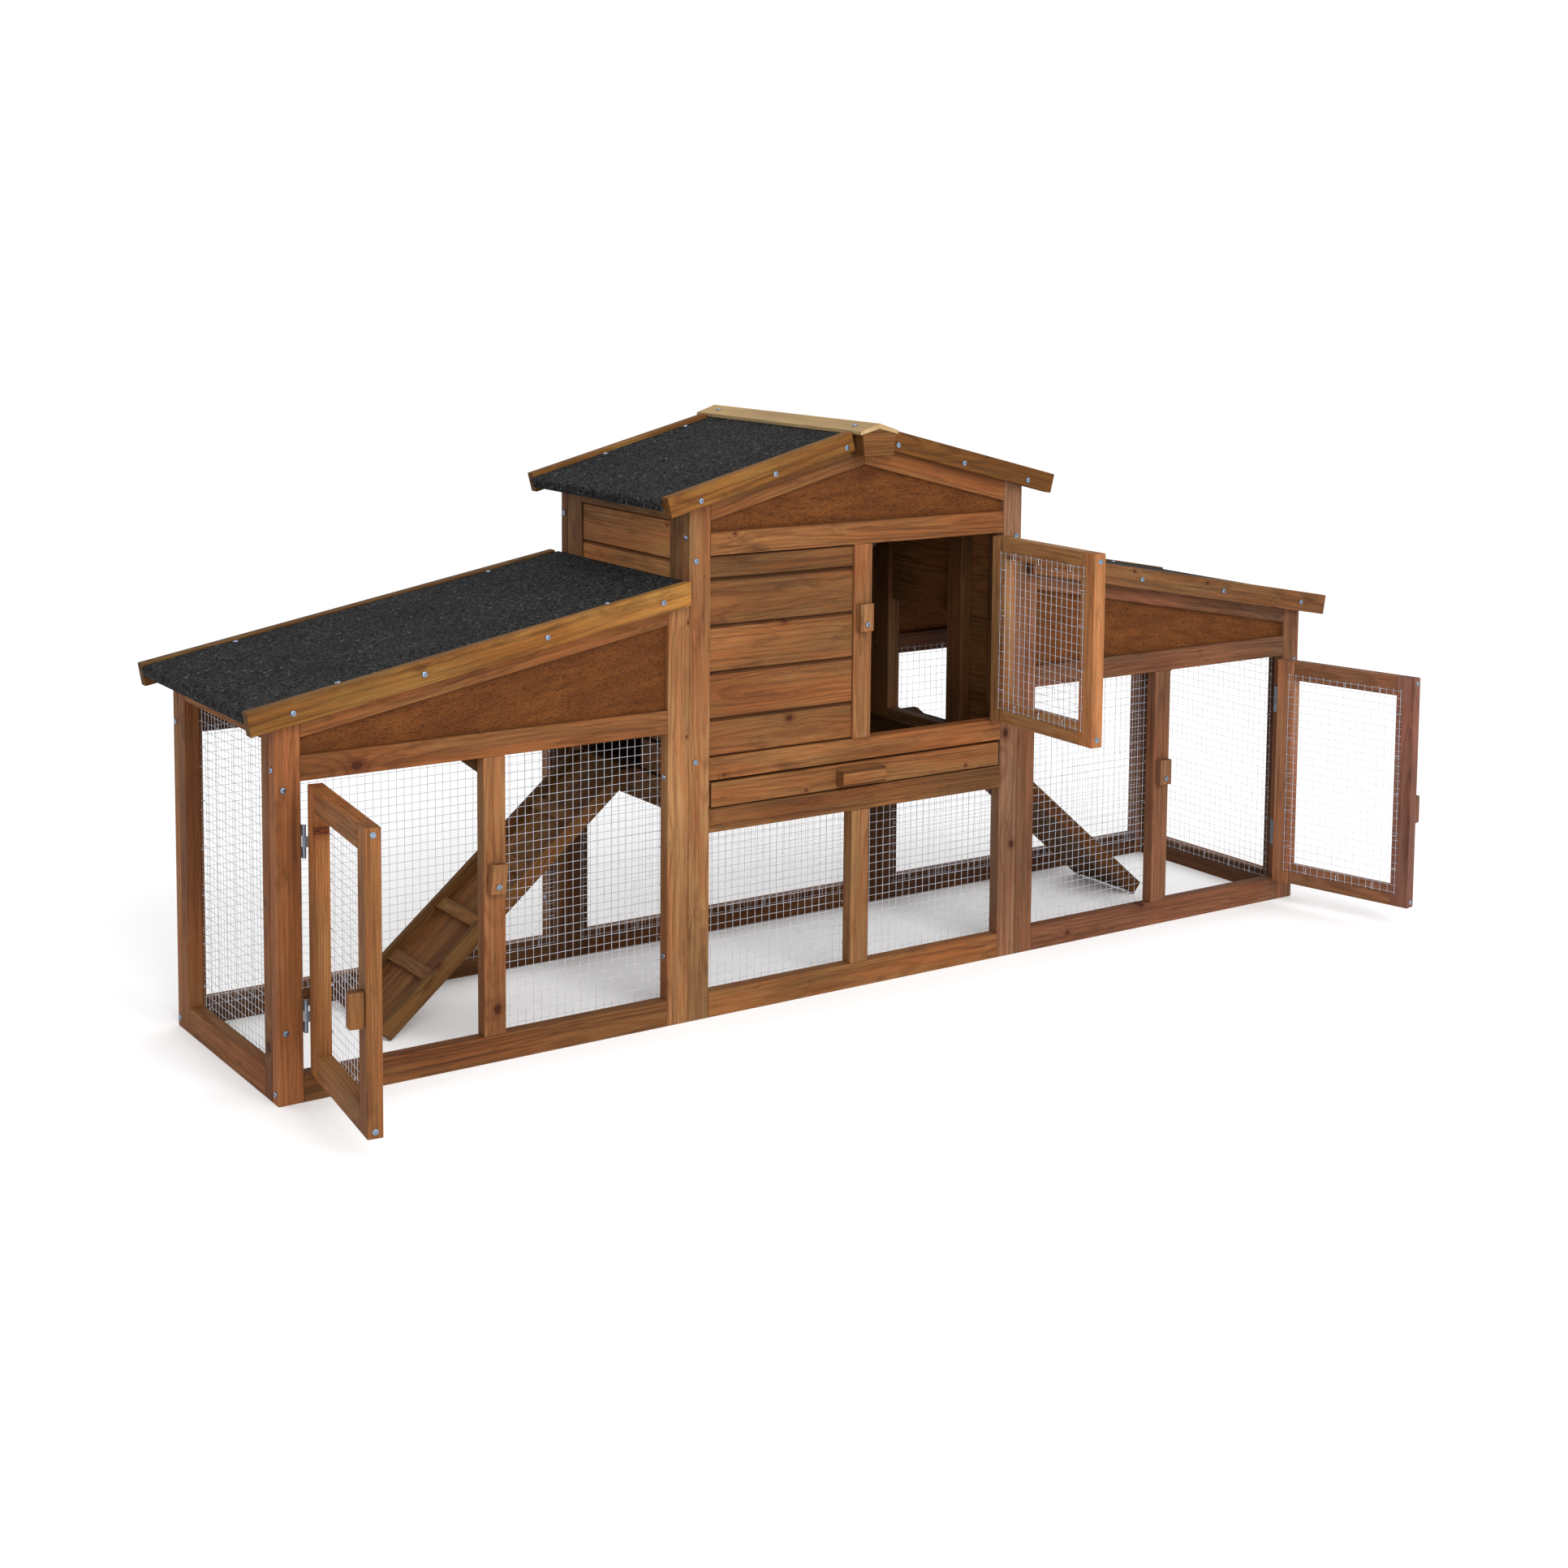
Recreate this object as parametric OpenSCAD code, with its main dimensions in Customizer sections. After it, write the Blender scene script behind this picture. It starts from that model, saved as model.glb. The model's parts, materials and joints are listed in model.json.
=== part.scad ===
// Two-storey rabbit hutch with a wire run on each side, in millimetres.
// X runs along the front, Y runs from the front face of the frames to the back, Z is up.
// The origin is on the floor, at the middle of the front face.
// Parts of the right half are described once, and the left half mirrors them.

/* [Overall] */
// Width of the two-storey tower between its outer faces
tower_w = 608; // [560:1:680]
// Length of each side run, from the tower to the end panel's outer face
run_l = 622; // [560:1:700]
// Depth of the frames, front face to back face
frame_d = 382; // [360:1:440]

/* [Timber] */
// Thickness of every frame
frame_t = 21; // [18:0.5:24]
// Width of the upright stiles
stile_w = 35; // [30:1:40]
// Width of the middle posts in the front frames
mid_w = 33; // [28:1:36]
// Height of the rail that stands on the floor
base_rail_h = 38; // [30:1:42]
// Height of the other rails
rail_h = 34; // [28:1:36]
// Depth of the sloping rails under the roofs, measured plumb
slope_rail_h = 43; // [36:1:46]
// Thickness of the end frames of the runs
end_t = 22; // [18:1:24]
// Width of the end frames' stiles
end_stile_w = 26; // [22:1:30]

/* [Runs] */
// Underside of the middle rail above the run door
run_rail_z = 427; // [400:1:450]
// Centre of the run's middle post, from the tower
run_mid_x = 309; // [290:1:330]
// Roof slope of the runs
run_slope = 10.2; // [8:0.1:12]
// Underside of the run roof where it meets the tower
run_roof_z = 633; // [620:1:650]
// How far the run roof reaches past the end frame
run_eave = 39; // [20:1:60]

/* [Tower] */
// Underside of the rail below the tray
tray_rail_z = 274; // [262:1:280]
// Underside of the sill above the tray
sill_z = 351; // [348:1:356]
// Underside of the rail above the nest door
head_z = 678; // [660:1:690]
// Roof slope of the tower
tower_slope = 14.5; // [12:0.1:17]
// Underside of the tower roof at the ridge
ridge_z = 840.6; // [825:0.2:860]
// How far the tower roof reaches past the side walls
tower_eave = 46; // [30:1:60]
// Height that each cladding board covers
board_h = 68; // [60:1:72]

/* [Roofing] */
// Thickness of the roof boards
roof_t = 9; // [8:0.5:12]
// Thickness of the roofing felt
felt_t = 2.5; // [2:0.1:3]
// Thickness of the barge boards
barge_t = 16.8; // [14:0.2:18]
// Height of the barge boards on the runs
run_barge_h = 33; // [28:1:38]
// Height of the barge boards on the tower
tower_barge_h = 30; // [26:1:34]

/* [Doors] */
// How far the left run door stands open
left_open = 97; // [60:0.5:120]
// How far the right run door stands open
right_open = 103.5; // [60:0.5:120]
// How far the nest door stands open
upper_open = 88.5; // [60:0.5:110]
// Width of a door's stiles and rails
door_rail_w = 32; // [28:1:34]
// Height of each butt hinge
hinge_h = 44; // [36:1:50]

/* [Mesh] */
// Distance between neighbouring wires
mesh_pitch = 12.7; // [10:0.1:20]
// Thickness of the wire
wire_t = 0.9; // [0.8:0.05:1.1]
// How far a mesh panel laps onto its frame
mesh_lap = 12; // [8:1:14]

/* [Ramps] */
// Steepness of the ramps
ramp_angle = 40.3; // [38:0.1:43]
// Where a ramp's foot stands, from the tower
ramp_foot_x = 396; // [380:1:420]
// Front edge of the ramps
ramp_y = 153; // [150:1:156]
// Width of the ramps over their side rails
ramp_w = 154; // [150:1:158]

/* [Hidden] */

$fn = 32;

// Clearance between neighbouring pieces that don't bear on each other
gap = 0.3;
tower_x = tower_w / 2;
run_x = tower_x + run_l;
back_y = frame_d - frame_t;
tower_in_x = tower_x - stile_w;
run_in_x = tower_x + stile_w;
run_out_x = run_x - stile_w;
run_post_x = tower_x + run_mid_x;
run_rail_top = run_rail_z + rail_h;
end_rail_h = 42;
sill_top = sill_z + rail_h - 1;
head_top = head_z + rail_h;
tray_rail_h = 35;
tray_rail_top = tray_rail_z + tray_rail_h;

// Roofs
run_tan = tan(run_slope);
tower_tan = tan(tower_slope);
roof_y0 = -3;
roof_y1 = frame_d + 3;
run_roof_clear = 0.8;
barge_gap = 0.2;
run_barge_lift = 3;
tower_barge_lift = 6;
function run_under(x) = run_roof_z - run_tan * (x - tower_x);
function tower_under(x) = ridge_z - tower_tan * x;
end_rail_z = run_under(run_x) - end_rail_h;
run_skin = (roof_t + felt_t) / cos(run_slope);
tower_skin = (roof_t + felt_t) / cos(tower_slope);

// Doors
door_gap = 2;
door_t = 20.5;
knuckle_r = 2.5;
pin_r = 1.25;
pin_clear = 0.05;
leaf_t = 1;
leaf_d = 18;
axis_y = -4;
run_axis_x = run_out_x - knuckle_r;
run_door_w = run_out_x - 2 * knuckle_r - (run_post_x + mid_w / 2) - door_gap;
run_door_z0 = base_rail_h + 2.5;
run_door_z1 = run_rail_z - 2.5;
upper_axis_x = tower_in_x - knuckle_r;
upper_door_w = tower_in_x - 2 * knuckle_r - mid_w / 2 - door_gap;
upper_door_z0 = sill_top + 2.5;
upper_door_z1 = head_z - 2.5;
hinge_inset = 76;
handle_w = 16;
handle_h = 46;
handle_d = 20;
handle_z = 201;

// Turn buttons
button_w = 24;
button_h = 42;
button_t = 12;
button_foot = 11;
button_lean = 5;
pivot_r = 2;
run_pivot_z = 249;
upper_pivot_z = 558;

// Tray
tray_w = 532;
tray_front_z = tray_rail_top + 2;
tray_front_h = 36;
tray_front_t = 18;
tray_in_w = 522;
tray_in_d = 334;
tray_floor_t = 4;
tray_side_h = 22;
tray_side_t = 10;
runner_h = 9;
runner_w = 26;

// Side walls of the tower
side_sill_z = 300;
side_sill_top = 345;
side_back_y = 318;
side_front_y = 55;
side_head_z = 727;
porch_y = 142;
porch_post_w = 37;
porch_top = 531;
clad_t = 10;
clad_inset = 3;
least_board = 8;

// Screws
head_r = 4;
head_h = 2;
shank_r = 1.9;

timber = "#a5703f";
dark_timber = "#8f5a31";
ply = "#8a4f30";
felt_colour = "#3a3a3c";
zinc = "#b9c0c8";
light_timber = "#cda86b";

// A board between two corners
module bar(x, y, z) {
  translate([x[0], y[0], z[0]])
    cube([x[1] - x[0], y[1] - y[0], z[1] - z[0]]);
}

// An outline in X and Z, given its thickness from y[0] to y[1]
module slab(outline, y) {
  rotate([90, 0, 0])
    translate([0, 0, -y[1]])
      linear_extrude(y[1] - y[0])
        polygon(outline);
}

// An upright between x[0] and x[1], cut to the run roof's slope
module run_upright(x, y) {
  slab([[x[0], 0], [x[1], 0], [x[1], run_under(x[1])], [x[0], run_under(x[0])]], y);
}

// An upright between x[0] and x[1], cut to the tower roof's slope
module tower_upright(x, y) {
  slab([[x[0], 0], [x[1], 0], [x[1], tower_under(x[1])], [x[0], tower_under(x[0])]], y);
}

// A sheet of welded mesh standing in the XZ plane: two layers of wires on a border
module mesh_panel(w, h) {
  across = floor((w - 2 * wire_t) / mesh_pitch);
  up = floor((h - 2 * wire_t) / mesh_pitch);
  step_x = (w - wire_t) / across;
  step_z = (h - wire_t) / up;
  layer = wire_t;
  slit = 0.2;
  module flat(depth) rotate([90, 0, 0]) linear_extrude(depth) children();
  translate([0, 2 * layer + slit, 0]) flat(2 * layer + slit)
    difference() {
      square([w, h]);
      translate([wire_t, wire_t]) square([w - 2 * wire_t, h - 2 * wire_t]);
    }
  translate([0, layer, 0]) flat(layer)
    difference() {
      square([w, h]);
      for (i = [0:across - 1])
        translate([i * step_x + wire_t, wire_t]) square([step_x - wire_t, h - 2 * wire_t]);
    }
  translate([0, 2 * layer + slit, 0]) flat(layer)
    difference() {
      square([w, h]);
      for (i = [0:up - 1])
        translate([wire_t, i * step_z + wire_t]) square([w - 2 * wire_t, step_z - wire_t]);
    }
}

mesh_t = 2 * wire_t + 0.2;
mesh_off = 0.1;

// A sheet of mesh lapping onto the back of an opening from x[0] to x[1] and z[0] to z[1]
module lapped_mesh(x, z) {
  translate([x[0] - mesh_lap, 0, z[0] - mesh_lap])
    mesh_panel(x[1] - x[0] + 2 * mesh_lap, z[1] - z[0] + 2 * mesh_lap);
}

// ---------------------------------------------------------------- runs

module run_posts() color(timber) {
  run_upright([tower_x, run_in_x], [0, frame_t]);
  bar([run_post_x - mid_w / 2, run_post_x + mid_w / 2], [0, frame_t], [base_rail_h, run_rail_z]);
  run_upright([run_out_x, run_x], [0, frame_t]);
  run_upright([run_x - end_t, run_x], [frame_t + gap, frame_t + end_stile_w]);
  run_upright([run_x - end_t, run_x], [back_y - end_stile_w, back_y - gap]);
  run_upright([run_out_x, run_x], [back_y, frame_d]);
  run_upright([tower_x, run_in_x], [back_y, frame_d]);
}

// The rails of a run's front or back frame
module run_frame_rails(y) {
  bar([run_in_x, run_out_x], y, [0, base_rail_h]);
  bar([run_in_x, run_out_x], y, [run_rail_z, run_rail_top]);
  slab([
    [run_in_x, run_under(run_in_x)], [run_out_x, run_under(run_out_x)],
    [run_out_x, run_under(run_out_x) - slope_rail_h], [run_in_x, run_under(run_in_x) - slope_rail_h]
  ], y);
}

module run_rails() color(timber) {
  run_frame_rails([0, frame_t]);
  run_frame_rails([back_y, frame_d]);
  end_y = [frame_t + end_stile_w, back_y - end_stile_w];
  bar([run_x - end_t, run_x], end_y, [0, base_rail_h]);
  bar([run_x - end_t, run_x], end_y, [end_rail_z, run_under(run_x)]);
}

module run_wedge_panels() color(ply) {
  panel_t = 4;
  inset = 8;
  outline = [
    [run_in_x, run_rail_top], [run_out_x, run_rail_top],
    [run_out_x, run_under(run_out_x) - slope_rail_h], [run_in_x, run_under(run_in_x) - slope_rail_h]
  ];
  slab(outline, [inset, inset + panel_t]);
  slab(outline, [frame_d - inset - panel_t, frame_d - inset]);
}

module run_mesh() color(zinc) {
  // The back sheet stops short of the end frame's own sheet
  corner_room = 2;
  z = [base_rail_h, run_rail_z];
  translate([0, frame_t + mesh_off, 0]) lapped_mesh([run_in_x, run_post_x - mid_w / 2], z);
  translate([0, back_y - mesh_off - mesh_t, 0]) lapped_mesh([run_in_x, run_out_x - corner_room], z);
  end_z = [base_rail_h, end_rail_z];
  translate([run_x - end_t - mesh_off - mesh_t, 0, 0])
    rotate([0, 0, 90]) mirror([0, 1, 0])
      lapped_mesh([frame_t + end_stile_w, back_y - end_stile_w], end_z);
}

// Places children along the run roof: x down the slope, z square to it
module on_run_roof() {
  translate([tower_x + run_roof_clear, 0, run_under(tower_x + run_roof_clear)])
    rotate([0, run_slope, 0])
      children();
}

run_roof_l = (run_l + run_eave - run_roof_clear) / cos(run_slope);

module run_roof_board() color(timber) on_run_roof()
  bar([0, run_roof_l], [roof_y0, roof_y1], [0, roof_t]);

module run_roof_felt() color(felt_colour) on_run_roof() {
  bar([0, run_roof_l + felt_t], [roof_y0, roof_y1], [roof_t, roof_t + felt_t]);
  bar([run_roof_l, run_roof_l + felt_t], [roof_y0, roof_y1], [-3, roof_t + felt_t]);
}

// One barge board of a run: plumb cut at the tower, square cut at the eave
module run_barge(y) {
  top = run_skin + run_barge_lift;
  drop = run_barge_h / cos(run_slope);
  inner = tower_x + 9;
  outer = run_x + run_eave + 5;
  tuck = run_barge_h * sin(run_slope);
  slab([
    [inner, run_under(inner) + top], [outer, run_under(outer) + top],
    [outer - tuck, run_under(outer - tuck) + top - drop], [inner, run_under(inner) + top - drop]
  ], y);
}

module run_barge_pair() color(light_timber) {
  run_barge([roof_y0 - barge_gap - barge_t, roof_y0 - barge_gap]);
  run_barge([roof_y1 + barge_gap, roof_y1 + barge_gap + barge_t]);
}

module run_barges() {
  run_barge_pair();
  mirror([1, 0, 0]) run_barge_pair();
}

// ---------------------------------------------------------------- ramps

side_t = 12;
ramp_deck_w = ramp_w - 2 * side_t;
ramp_foot = [tower_x + ramp_foot_x, 0.5];

// A lath along the ramp, from height n[0] to n[1] square to the slope.
// It is cut plumb at the tower, and level with the sill that it leads to.
module ramp_lath(n, y) {
  s = sin(ramp_angle);
  c = cos(ramp_angle);
  top_x = tower_x + 0.4;
  function at(k) = [ramp_foot[0] + k * s, ramp_foot[1] + k * c];
  head = [top_x, at(n[0])[1] + (at(n[0])[0] - top_x) * tan(ramp_angle)];
  crest = [at(n[1])[0] - (side_sill_top - at(n[1])[1]) / tan(ramp_angle), side_sill_top];
  slab([at(n[0]), head, [top_x, side_sill_top], crest, at(n[1])], y);
}

module ramp_sides() color(dark_timber) {
  ramp_lath([0, 24], [ramp_y, ramp_y + side_t]);
  ramp_lath([0, 24], [ramp_y + ramp_w - side_t, ramp_y + ramp_w]);
}

module ramp_planks() color(dark_timber) {
  planks = 3;
  plank_w = ramp_deck_w / planks;
  y0 = ramp_y + side_t;
  for (i = [0:planks - 1])
    ramp_lath([2, 11], [y0 + i * plank_w + (i > 0 ? gap : 0), y0 + (i + 1) * plank_w]);
}

// Cross cleats nailed onto the planks as footholds
module ramp_cleat_row() color(timber) {
  cleats = 4;
  first = 92;
  spacing = 102;
  cleat_w = 20;
  cleat_t = 8;
  translate([ramp_foot[0], 0, ramp_foot[1]]) rotate([0, ramp_angle, 0])
    for (i = [0:cleats - 1])
      bar([-first - i * spacing - cleat_w, -first - i * spacing],
          [ramp_y + side_t + 0.5, ramp_y + ramp_w - side_t - 0.5], [11, 11 + cleat_t]);
}

module ramp_cleats() {
  ramp_cleat_row();
  mirror([1, 0, 0]) ramp_cleat_row();
}

// ---------------------------------------------------------------- doors

// Turns a closed door open about its hinge; the closed door reaches from its hinge towards -X
module swing(axis_x, angle) {
  translate([axis_x, axis_y, 0]) rotate([0, 0, angle]) translate([-axis_x, -axis_y, 0]) children();
}

module door_stiles(hinge_x, w, z) color(timber) {
  edge = hinge_x - knuckle_r;
  bar([edge - door_rail_w, edge], [0, door_t], z);
  bar([edge - w, edge - w + door_rail_w], [0, door_t], z);
}

module door_rails(hinge_x, w, z) color(timber) {
  x = [hinge_x - knuckle_r - w + door_rail_w, hinge_x - knuckle_r - door_rail_w];
  bar(x, [0, door_t], [z[0], z[0] + door_rail_w]);
  bar(x, [0, door_t], [z[1] - door_rail_w, z[1]]);
}

module door_mesh(hinge_x, w, z) color(zinc) {
  x = [hinge_x - knuckle_r - w + door_rail_w, hinge_x - knuckle_r - door_rail_w];
  translate([0, door_t + mesh_off, 0]) lapped_mesh(x, [z[0] + door_rail_w, z[1] - door_rail_w]);
}

// Heights of the middle of a door's two hinges
function hinge_heights(z) = [z[0] + hinge_inset, z[1] - hinge_inset];

// One leaf of a butt hinge: side is -1 for the door's leaf and 1 for the frame's
module hinge_leaf(axis_x, z, side, knuckles) {
  third = hinge_h / 3;
  face = axis_x + side * knuckle_r;
  difference() {
    union() {
      for (k = knuckles)
        translate([axis_x, axis_y, z - hinge_h / 2 + k * third + gap / 2])
          cylinder(r = knuckle_r, h = third - gap);
      for (k = knuckles)
        bar([min(face, face - side * leaf_t), max(face, face - side * leaf_t)], [axis_y, 4],
            [z - hinge_h / 2 + k * third + gap / 2, z - hinge_h / 2 + (k + 1) * third - gap / 2]);
      bar([min(face, face - side * leaf_t), max(face, face - side * leaf_t)], [1, leaf_d],
          [z - hinge_h / 2 + gap / 2, z + hinge_h / 2 - gap / 2]);
    }
    translate([axis_x, axis_y, z - hinge_h]) cylinder(r = pin_r + pin_clear, h = 2 * hinge_h);
  }
}

module door_leaves(axis_x, z) color(zinc)
  for (h = hinge_heights(z)) hinge_leaf(axis_x, h, -1, [1]);

module frame_leaves(axis_x, z) color(zinc)
  for (h = hinge_heights(z)) hinge_leaf(axis_x, h, 1, [0, 2]);

module door_pins(axis_x, z) color(zinc)
  for (h = hinge_heights(z))
    translate([axis_x, axis_y, h - hinge_h / 2]) cylinder(r = pin_r, h = hinge_h);

// A wooden pull at the free edge of a run door
module door_handle() color(timber) {
  edge = run_axis_x - knuckle_r - run_door_w;
  bar([edge + 4, edge + 4 + handle_w], [-handle_d, 0], [handle_z - handle_h / 2, handle_z + handle_h / 2]);
}

run_door_z = [run_door_z0, run_door_z1];
upper_door_z = [upper_door_z0, upper_door_z1];

module right_door() swing(run_axis_x, right_open) children();
module left_door() mirror([1, 0, 0]) swing(run_axis_x, left_open) children();
module upper_door() swing(upper_axis_x, upper_open) children();

module frame_hinge_leaves() {
  frame_leaves(run_axis_x, run_door_z);
  mirror([1, 0, 0]) frame_leaves(run_axis_x, run_door_z);
  frame_leaves(upper_axis_x, upper_door_z);
}

module hinge_pins() {
  door_pins(run_axis_x, run_door_z);
  mirror([1, 0, 0]) door_pins(run_axis_x, run_door_z);
  door_pins(upper_axis_x, upper_door_z);
}

// ---------------------------------------------------------------- turn buttons

// A wooden block that turns on a screw near its lower end
module turn_button(x, z, lean) color(timber)
  translate([x, 0, z]) rotate([0, lean, 0]) difference() {
    bar([-button_w / 2, button_w / 2], [-gap - button_t, -gap], [-button_foot, button_h - button_foot]);
    rotate([90, 0, 0]) translate([0, 0, -5]) cylinder(r = pivot_r + pin_clear, h = 30);
  }

module pivot_screw(x, z) translate([x, 0, z]) rotate([90, 0, 0]) {
  translate([0, 0, -14]) cylinder(r = pivot_r, h = 14 + gap + button_t + gap + 1);
  translate([0, 0, button_t + 2 * gap]) cylinder(r = head_r + 0.3, h = head_h);
}

module pivot_screws() color(zinc) {
  pivot_screw(-run_post_x, run_pivot_z);
  pivot_screw(run_post_x, run_pivot_z);
  pivot_screw(0, upper_pivot_z);
}

// ---------------------------------------------------------------- tower

// Left and right copies of a piece that is described on the right
module both_sides() {
  children();
  mirror([1, 0, 0]) children();
}

module tower_front_posts() color(timber) {
  both_sides() tower_upright([tower_in_x, tower_x], [0, frame_t]);
  bar([-mid_w / 2, mid_w / 2], [0, frame_t], [sill_top, head_z]);
  bar([-mid_w / 2, mid_w / 2], [0, frame_t], [base_rail_h, tray_rail_z]);
}

module tower_back_posts() color(timber)
  both_sides() tower_upright([tower_in_x, tower_x], [back_y, frame_d]);

// The sloping rail on the right of a gable
module gable_rail(y) {
  slab([
    [gap / 2, tower_under(gap / 2)], [tower_in_x, tower_under(tower_in_x)],
    [tower_in_x, tower_under(tower_in_x) - slope_rail_h], [gap / 2, tower_under(gap / 2) - slope_rail_h]
  ], y);
}

module tower_rail(y, z) bar([-tower_in_x, tower_in_x], y, z);

module tower_front_rails() color(timber) {
  y = [0, frame_t];
  tower_rail(y, [0, base_rail_h]);
  tower_rail(y, [tray_rail_z, tray_rail_top]);
  tower_rail(y, [sill_z, sill_top]);
  tower_rail(y, [head_z, head_top]);
  both_sides() gable_rail(y);
}

module tower_back_rails() color(timber) {
  y = [back_y, frame_d];
  tower_rail(y, [0, base_rail_h]);
  tower_rail(y, [tray_rail_z, tray_rail_top]);
  tower_rail(y, [head_z, head_top]);
  both_sides() gable_rail(y);
}

// A side wall's frame: front, back and porch posts, with a rail at the floor and under the roof
module side_frame() color(timber) {
  x = [tower_x - frame_t, tower_x];
  top = tower_under(tower_x);
  bar(x, [frame_t + gap, side_front_y], [side_sill_z, top]);
  bar(x, [side_back_y, back_y - gap], [side_sill_z, top]);
  bar(x, [side_front_y + gap, side_back_y - gap], [side_sill_z, side_sill_top]);
  bar(x, [side_front_y + gap, side_back_y - gap], [side_head_z, top]);
  post_x = tower_x - clad_inset - clad_t - gap;
  bar([post_x - frame_t, post_x], [porch_y - porch_post_w, porch_y], [side_sill_top + gap, side_head_z - gap]);
}

module tower_side_frames() both_sides() side_frame();

// A cladding board across X from z[0] to z[1], with bevelled edges on its outer face at y
module front_board(x, y, z, out) {
  bevel = 3;
  inner = y - out * clad_t;
  rotate([90, 0, 90]) translate([0, 0, x[0]]) linear_extrude(x[1] - x[0])
    polygon([
      [inner, z[0]], [y - out * bevel, z[0]], [y, z[0] + bevel],
      [y, z[1] - bevel], [y - out * bevel, z[1]], [inner, z[1]]
    ]);
}

// Splits z[0] to z[1] into boards, with joints at joint and every board height below it
function board_joints(z, joint) = [
  z[0],
  for (k = [ceil((joint - z[0]) / board_h) - 1:-1:0])
    if (joint - k * board_h > z[0] + least_board && joint - k * board_h < z[1] - least_board)
      joint - k * board_h,
  z[1]
];

module board_stack(x, y, z, joint, out) {
  joints = board_joints(z, joint);
  for (i = [0:len(joints) - 2])
    front_board(x, y, [joints[i] + gap / 2, joints[i + 1] - gap / 2], out);
}

clad_joint = head_z - 35;

module front_cladding() color(timber)
  board_stack([-tower_in_x, -mid_w / 2], clad_inset, [sill_top, head_z], clad_joint, -1);

module back_cladding() color(timber)
  board_stack([-tower_in_x, tower_in_x], frame_d - clad_inset, [tray_rail_top, head_z], clad_joint, 1);

// Boards of a side wall; below porch_top they stop at the porch post and leave the way to the ramp
module side_boards() color(timber) {
  joint = side_head_z - 60;
  x = tower_x - clad_inset;
  y0 = side_front_y + gap;
  mirror([1, 0, 0]) rotate([0, 0, 90]) {
    board_stack([y0, side_back_y - gap], x, [porch_top, side_head_z], joint, 1);
    board_stack([y0, porch_y], x, [side_sill_top, porch_top - gap], joint, 1);
  }
}

module side_cladding() both_sides() side_boards();

module gable_panels() color(ply) {
  panel_t = 4;
  inset = 8;
  low = tower_under(tower_in_x) - slope_rail_h;
  outline = [
    [-tower_in_x, head_top], [tower_in_x, head_top], [tower_in_x, low],
    [0, tower_under(0) - slope_rail_h], [-tower_in_x, low]
  ];
  slab(outline, [inset, inset + panel_t]);
  slab(outline, [frame_d - inset - panel_t, frame_d - inset]);
}

module tower_mesh() color(zinc) {
  z = [base_rail_h, tray_rail_z];
  translate([0, frame_t + mesh_off, 0]) both_sides() lapped_mesh([mid_w / 2, tower_in_x], z);
  translate([0, back_y - mesh_off - mesh_t, 0]) lapped_mesh([-tower_in_x, tower_in_x], z);
}

// Places children along the right half of the tower roof: x down the slope, z square to it
module on_tower_roof() {
  translate([gap / 2, 0, tower_under(gap / 2)]) rotate([0, tower_slope, 0]) children();
}

tower_roof_l = (tower_x + tower_eave) / cos(tower_slope);

module tower_roof_boards() color(timber)
  both_sides() on_tower_roof() bar([0, tower_roof_l], [roof_y0, roof_y1], [0, roof_t]);

module tower_roof_felts() color(felt_colour)
  both_sides() on_tower_roof() {
    bar([0, tower_roof_l + felt_t], [roof_y0, roof_y1], [roof_t, roof_t + felt_t]);
    bar([tower_roof_l, tower_roof_l + felt_t], [roof_y0, roof_y1], [-3, roof_t + felt_t]);
  }

// One barge board of the tower, cut square at both ends
module tower_barge(y) {
  top = tower_skin + tower_barge_lift;
  drop = tower_barge_h / cos(tower_slope);
  tuck = tower_barge_h * sin(tower_slope);
  inner = 38;
  outer = tower_x + tower_eave + 3;
  slab([
    [inner, tower_under(inner) + top],
    [outer, tower_under(outer) + top],
    [outer - tuck, tower_under(outer - tuck) + top - drop],
    [inner - tuck, tower_under(inner - tuck) + top - drop]
  ], y);
}

module tower_barges() color(light_timber)
  both_sides() {
    tower_barge([roof_y0 - barge_gap - barge_t, roof_y0 - barge_gap]);
    tower_barge([roof_y1 + barge_gap, roof_y1 + barge_gap + barge_t]);
  }

cap_half = 34;
cap_t = 8.2;
cap_over = 38;
cap_z = ridge_z + tower_skin + 0.2;

module ridge_cap() color(light_timber)
  slab([
    [-cap_half, cap_z - tower_tan * cap_half], [0, cap_z], [cap_half, cap_z - tower_tan * cap_half],
    [cap_half, cap_z - tower_tan * cap_half + cap_t * 0.7], [0, cap_z + cap_t],
    [-cap_half, cap_z - tower_tan * cap_half + cap_t * 0.7]
  ], [-cap_over, frame_d + cap_over]);

// Blocks under the ends of the cap that cover the joint of the barge boards
module ridge_end_blocks() color(dark_timber) {
  low = 813;
  foot = 27;
  shoulder = 30;
  outline = [
    [-foot, low], [foot, low], [shoulder, cap_z - tower_tan * shoulder - gap],
    [0, cap_z - gap], [-shoulder, cap_z - tower_tan * shoulder - gap]
  ];
  slab(outline, [-cap_over + 1, roof_y0 - barge_gap]);
  slab(outline, [roof_y1 + barge_gap, frame_d + cap_over - 1]);
}

// Triangles behind the top corners of the door openings that stop the doors
module gusset(x, z, w, h) {
  slab([[x, z], [x - w, z], [x, z - h]], [frame_t, frame_t + 6]);
}

module corner_gussets() color(dark_timber) {
  leg = 32;
  drop = 21;
  lap = 8;
  gusset(-(run_post_x + mid_w / 2) + lap, run_rail_z + lap, leg + 2 * lap, drop + 2 * lap);
  mirror([1, 0, 0]) gusset(-(run_post_x + mid_w / 2) + lap, run_rail_z + lap, leg + 2 * lap, drop + 2 * lap);
  mirror([1, 0, 0]) gusset(-mid_w / 2 + lap, head_z + lap, leg + 2 * lap, drop + 2 * lap);
}

// ---------------------------------------------------------------- tray

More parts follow.
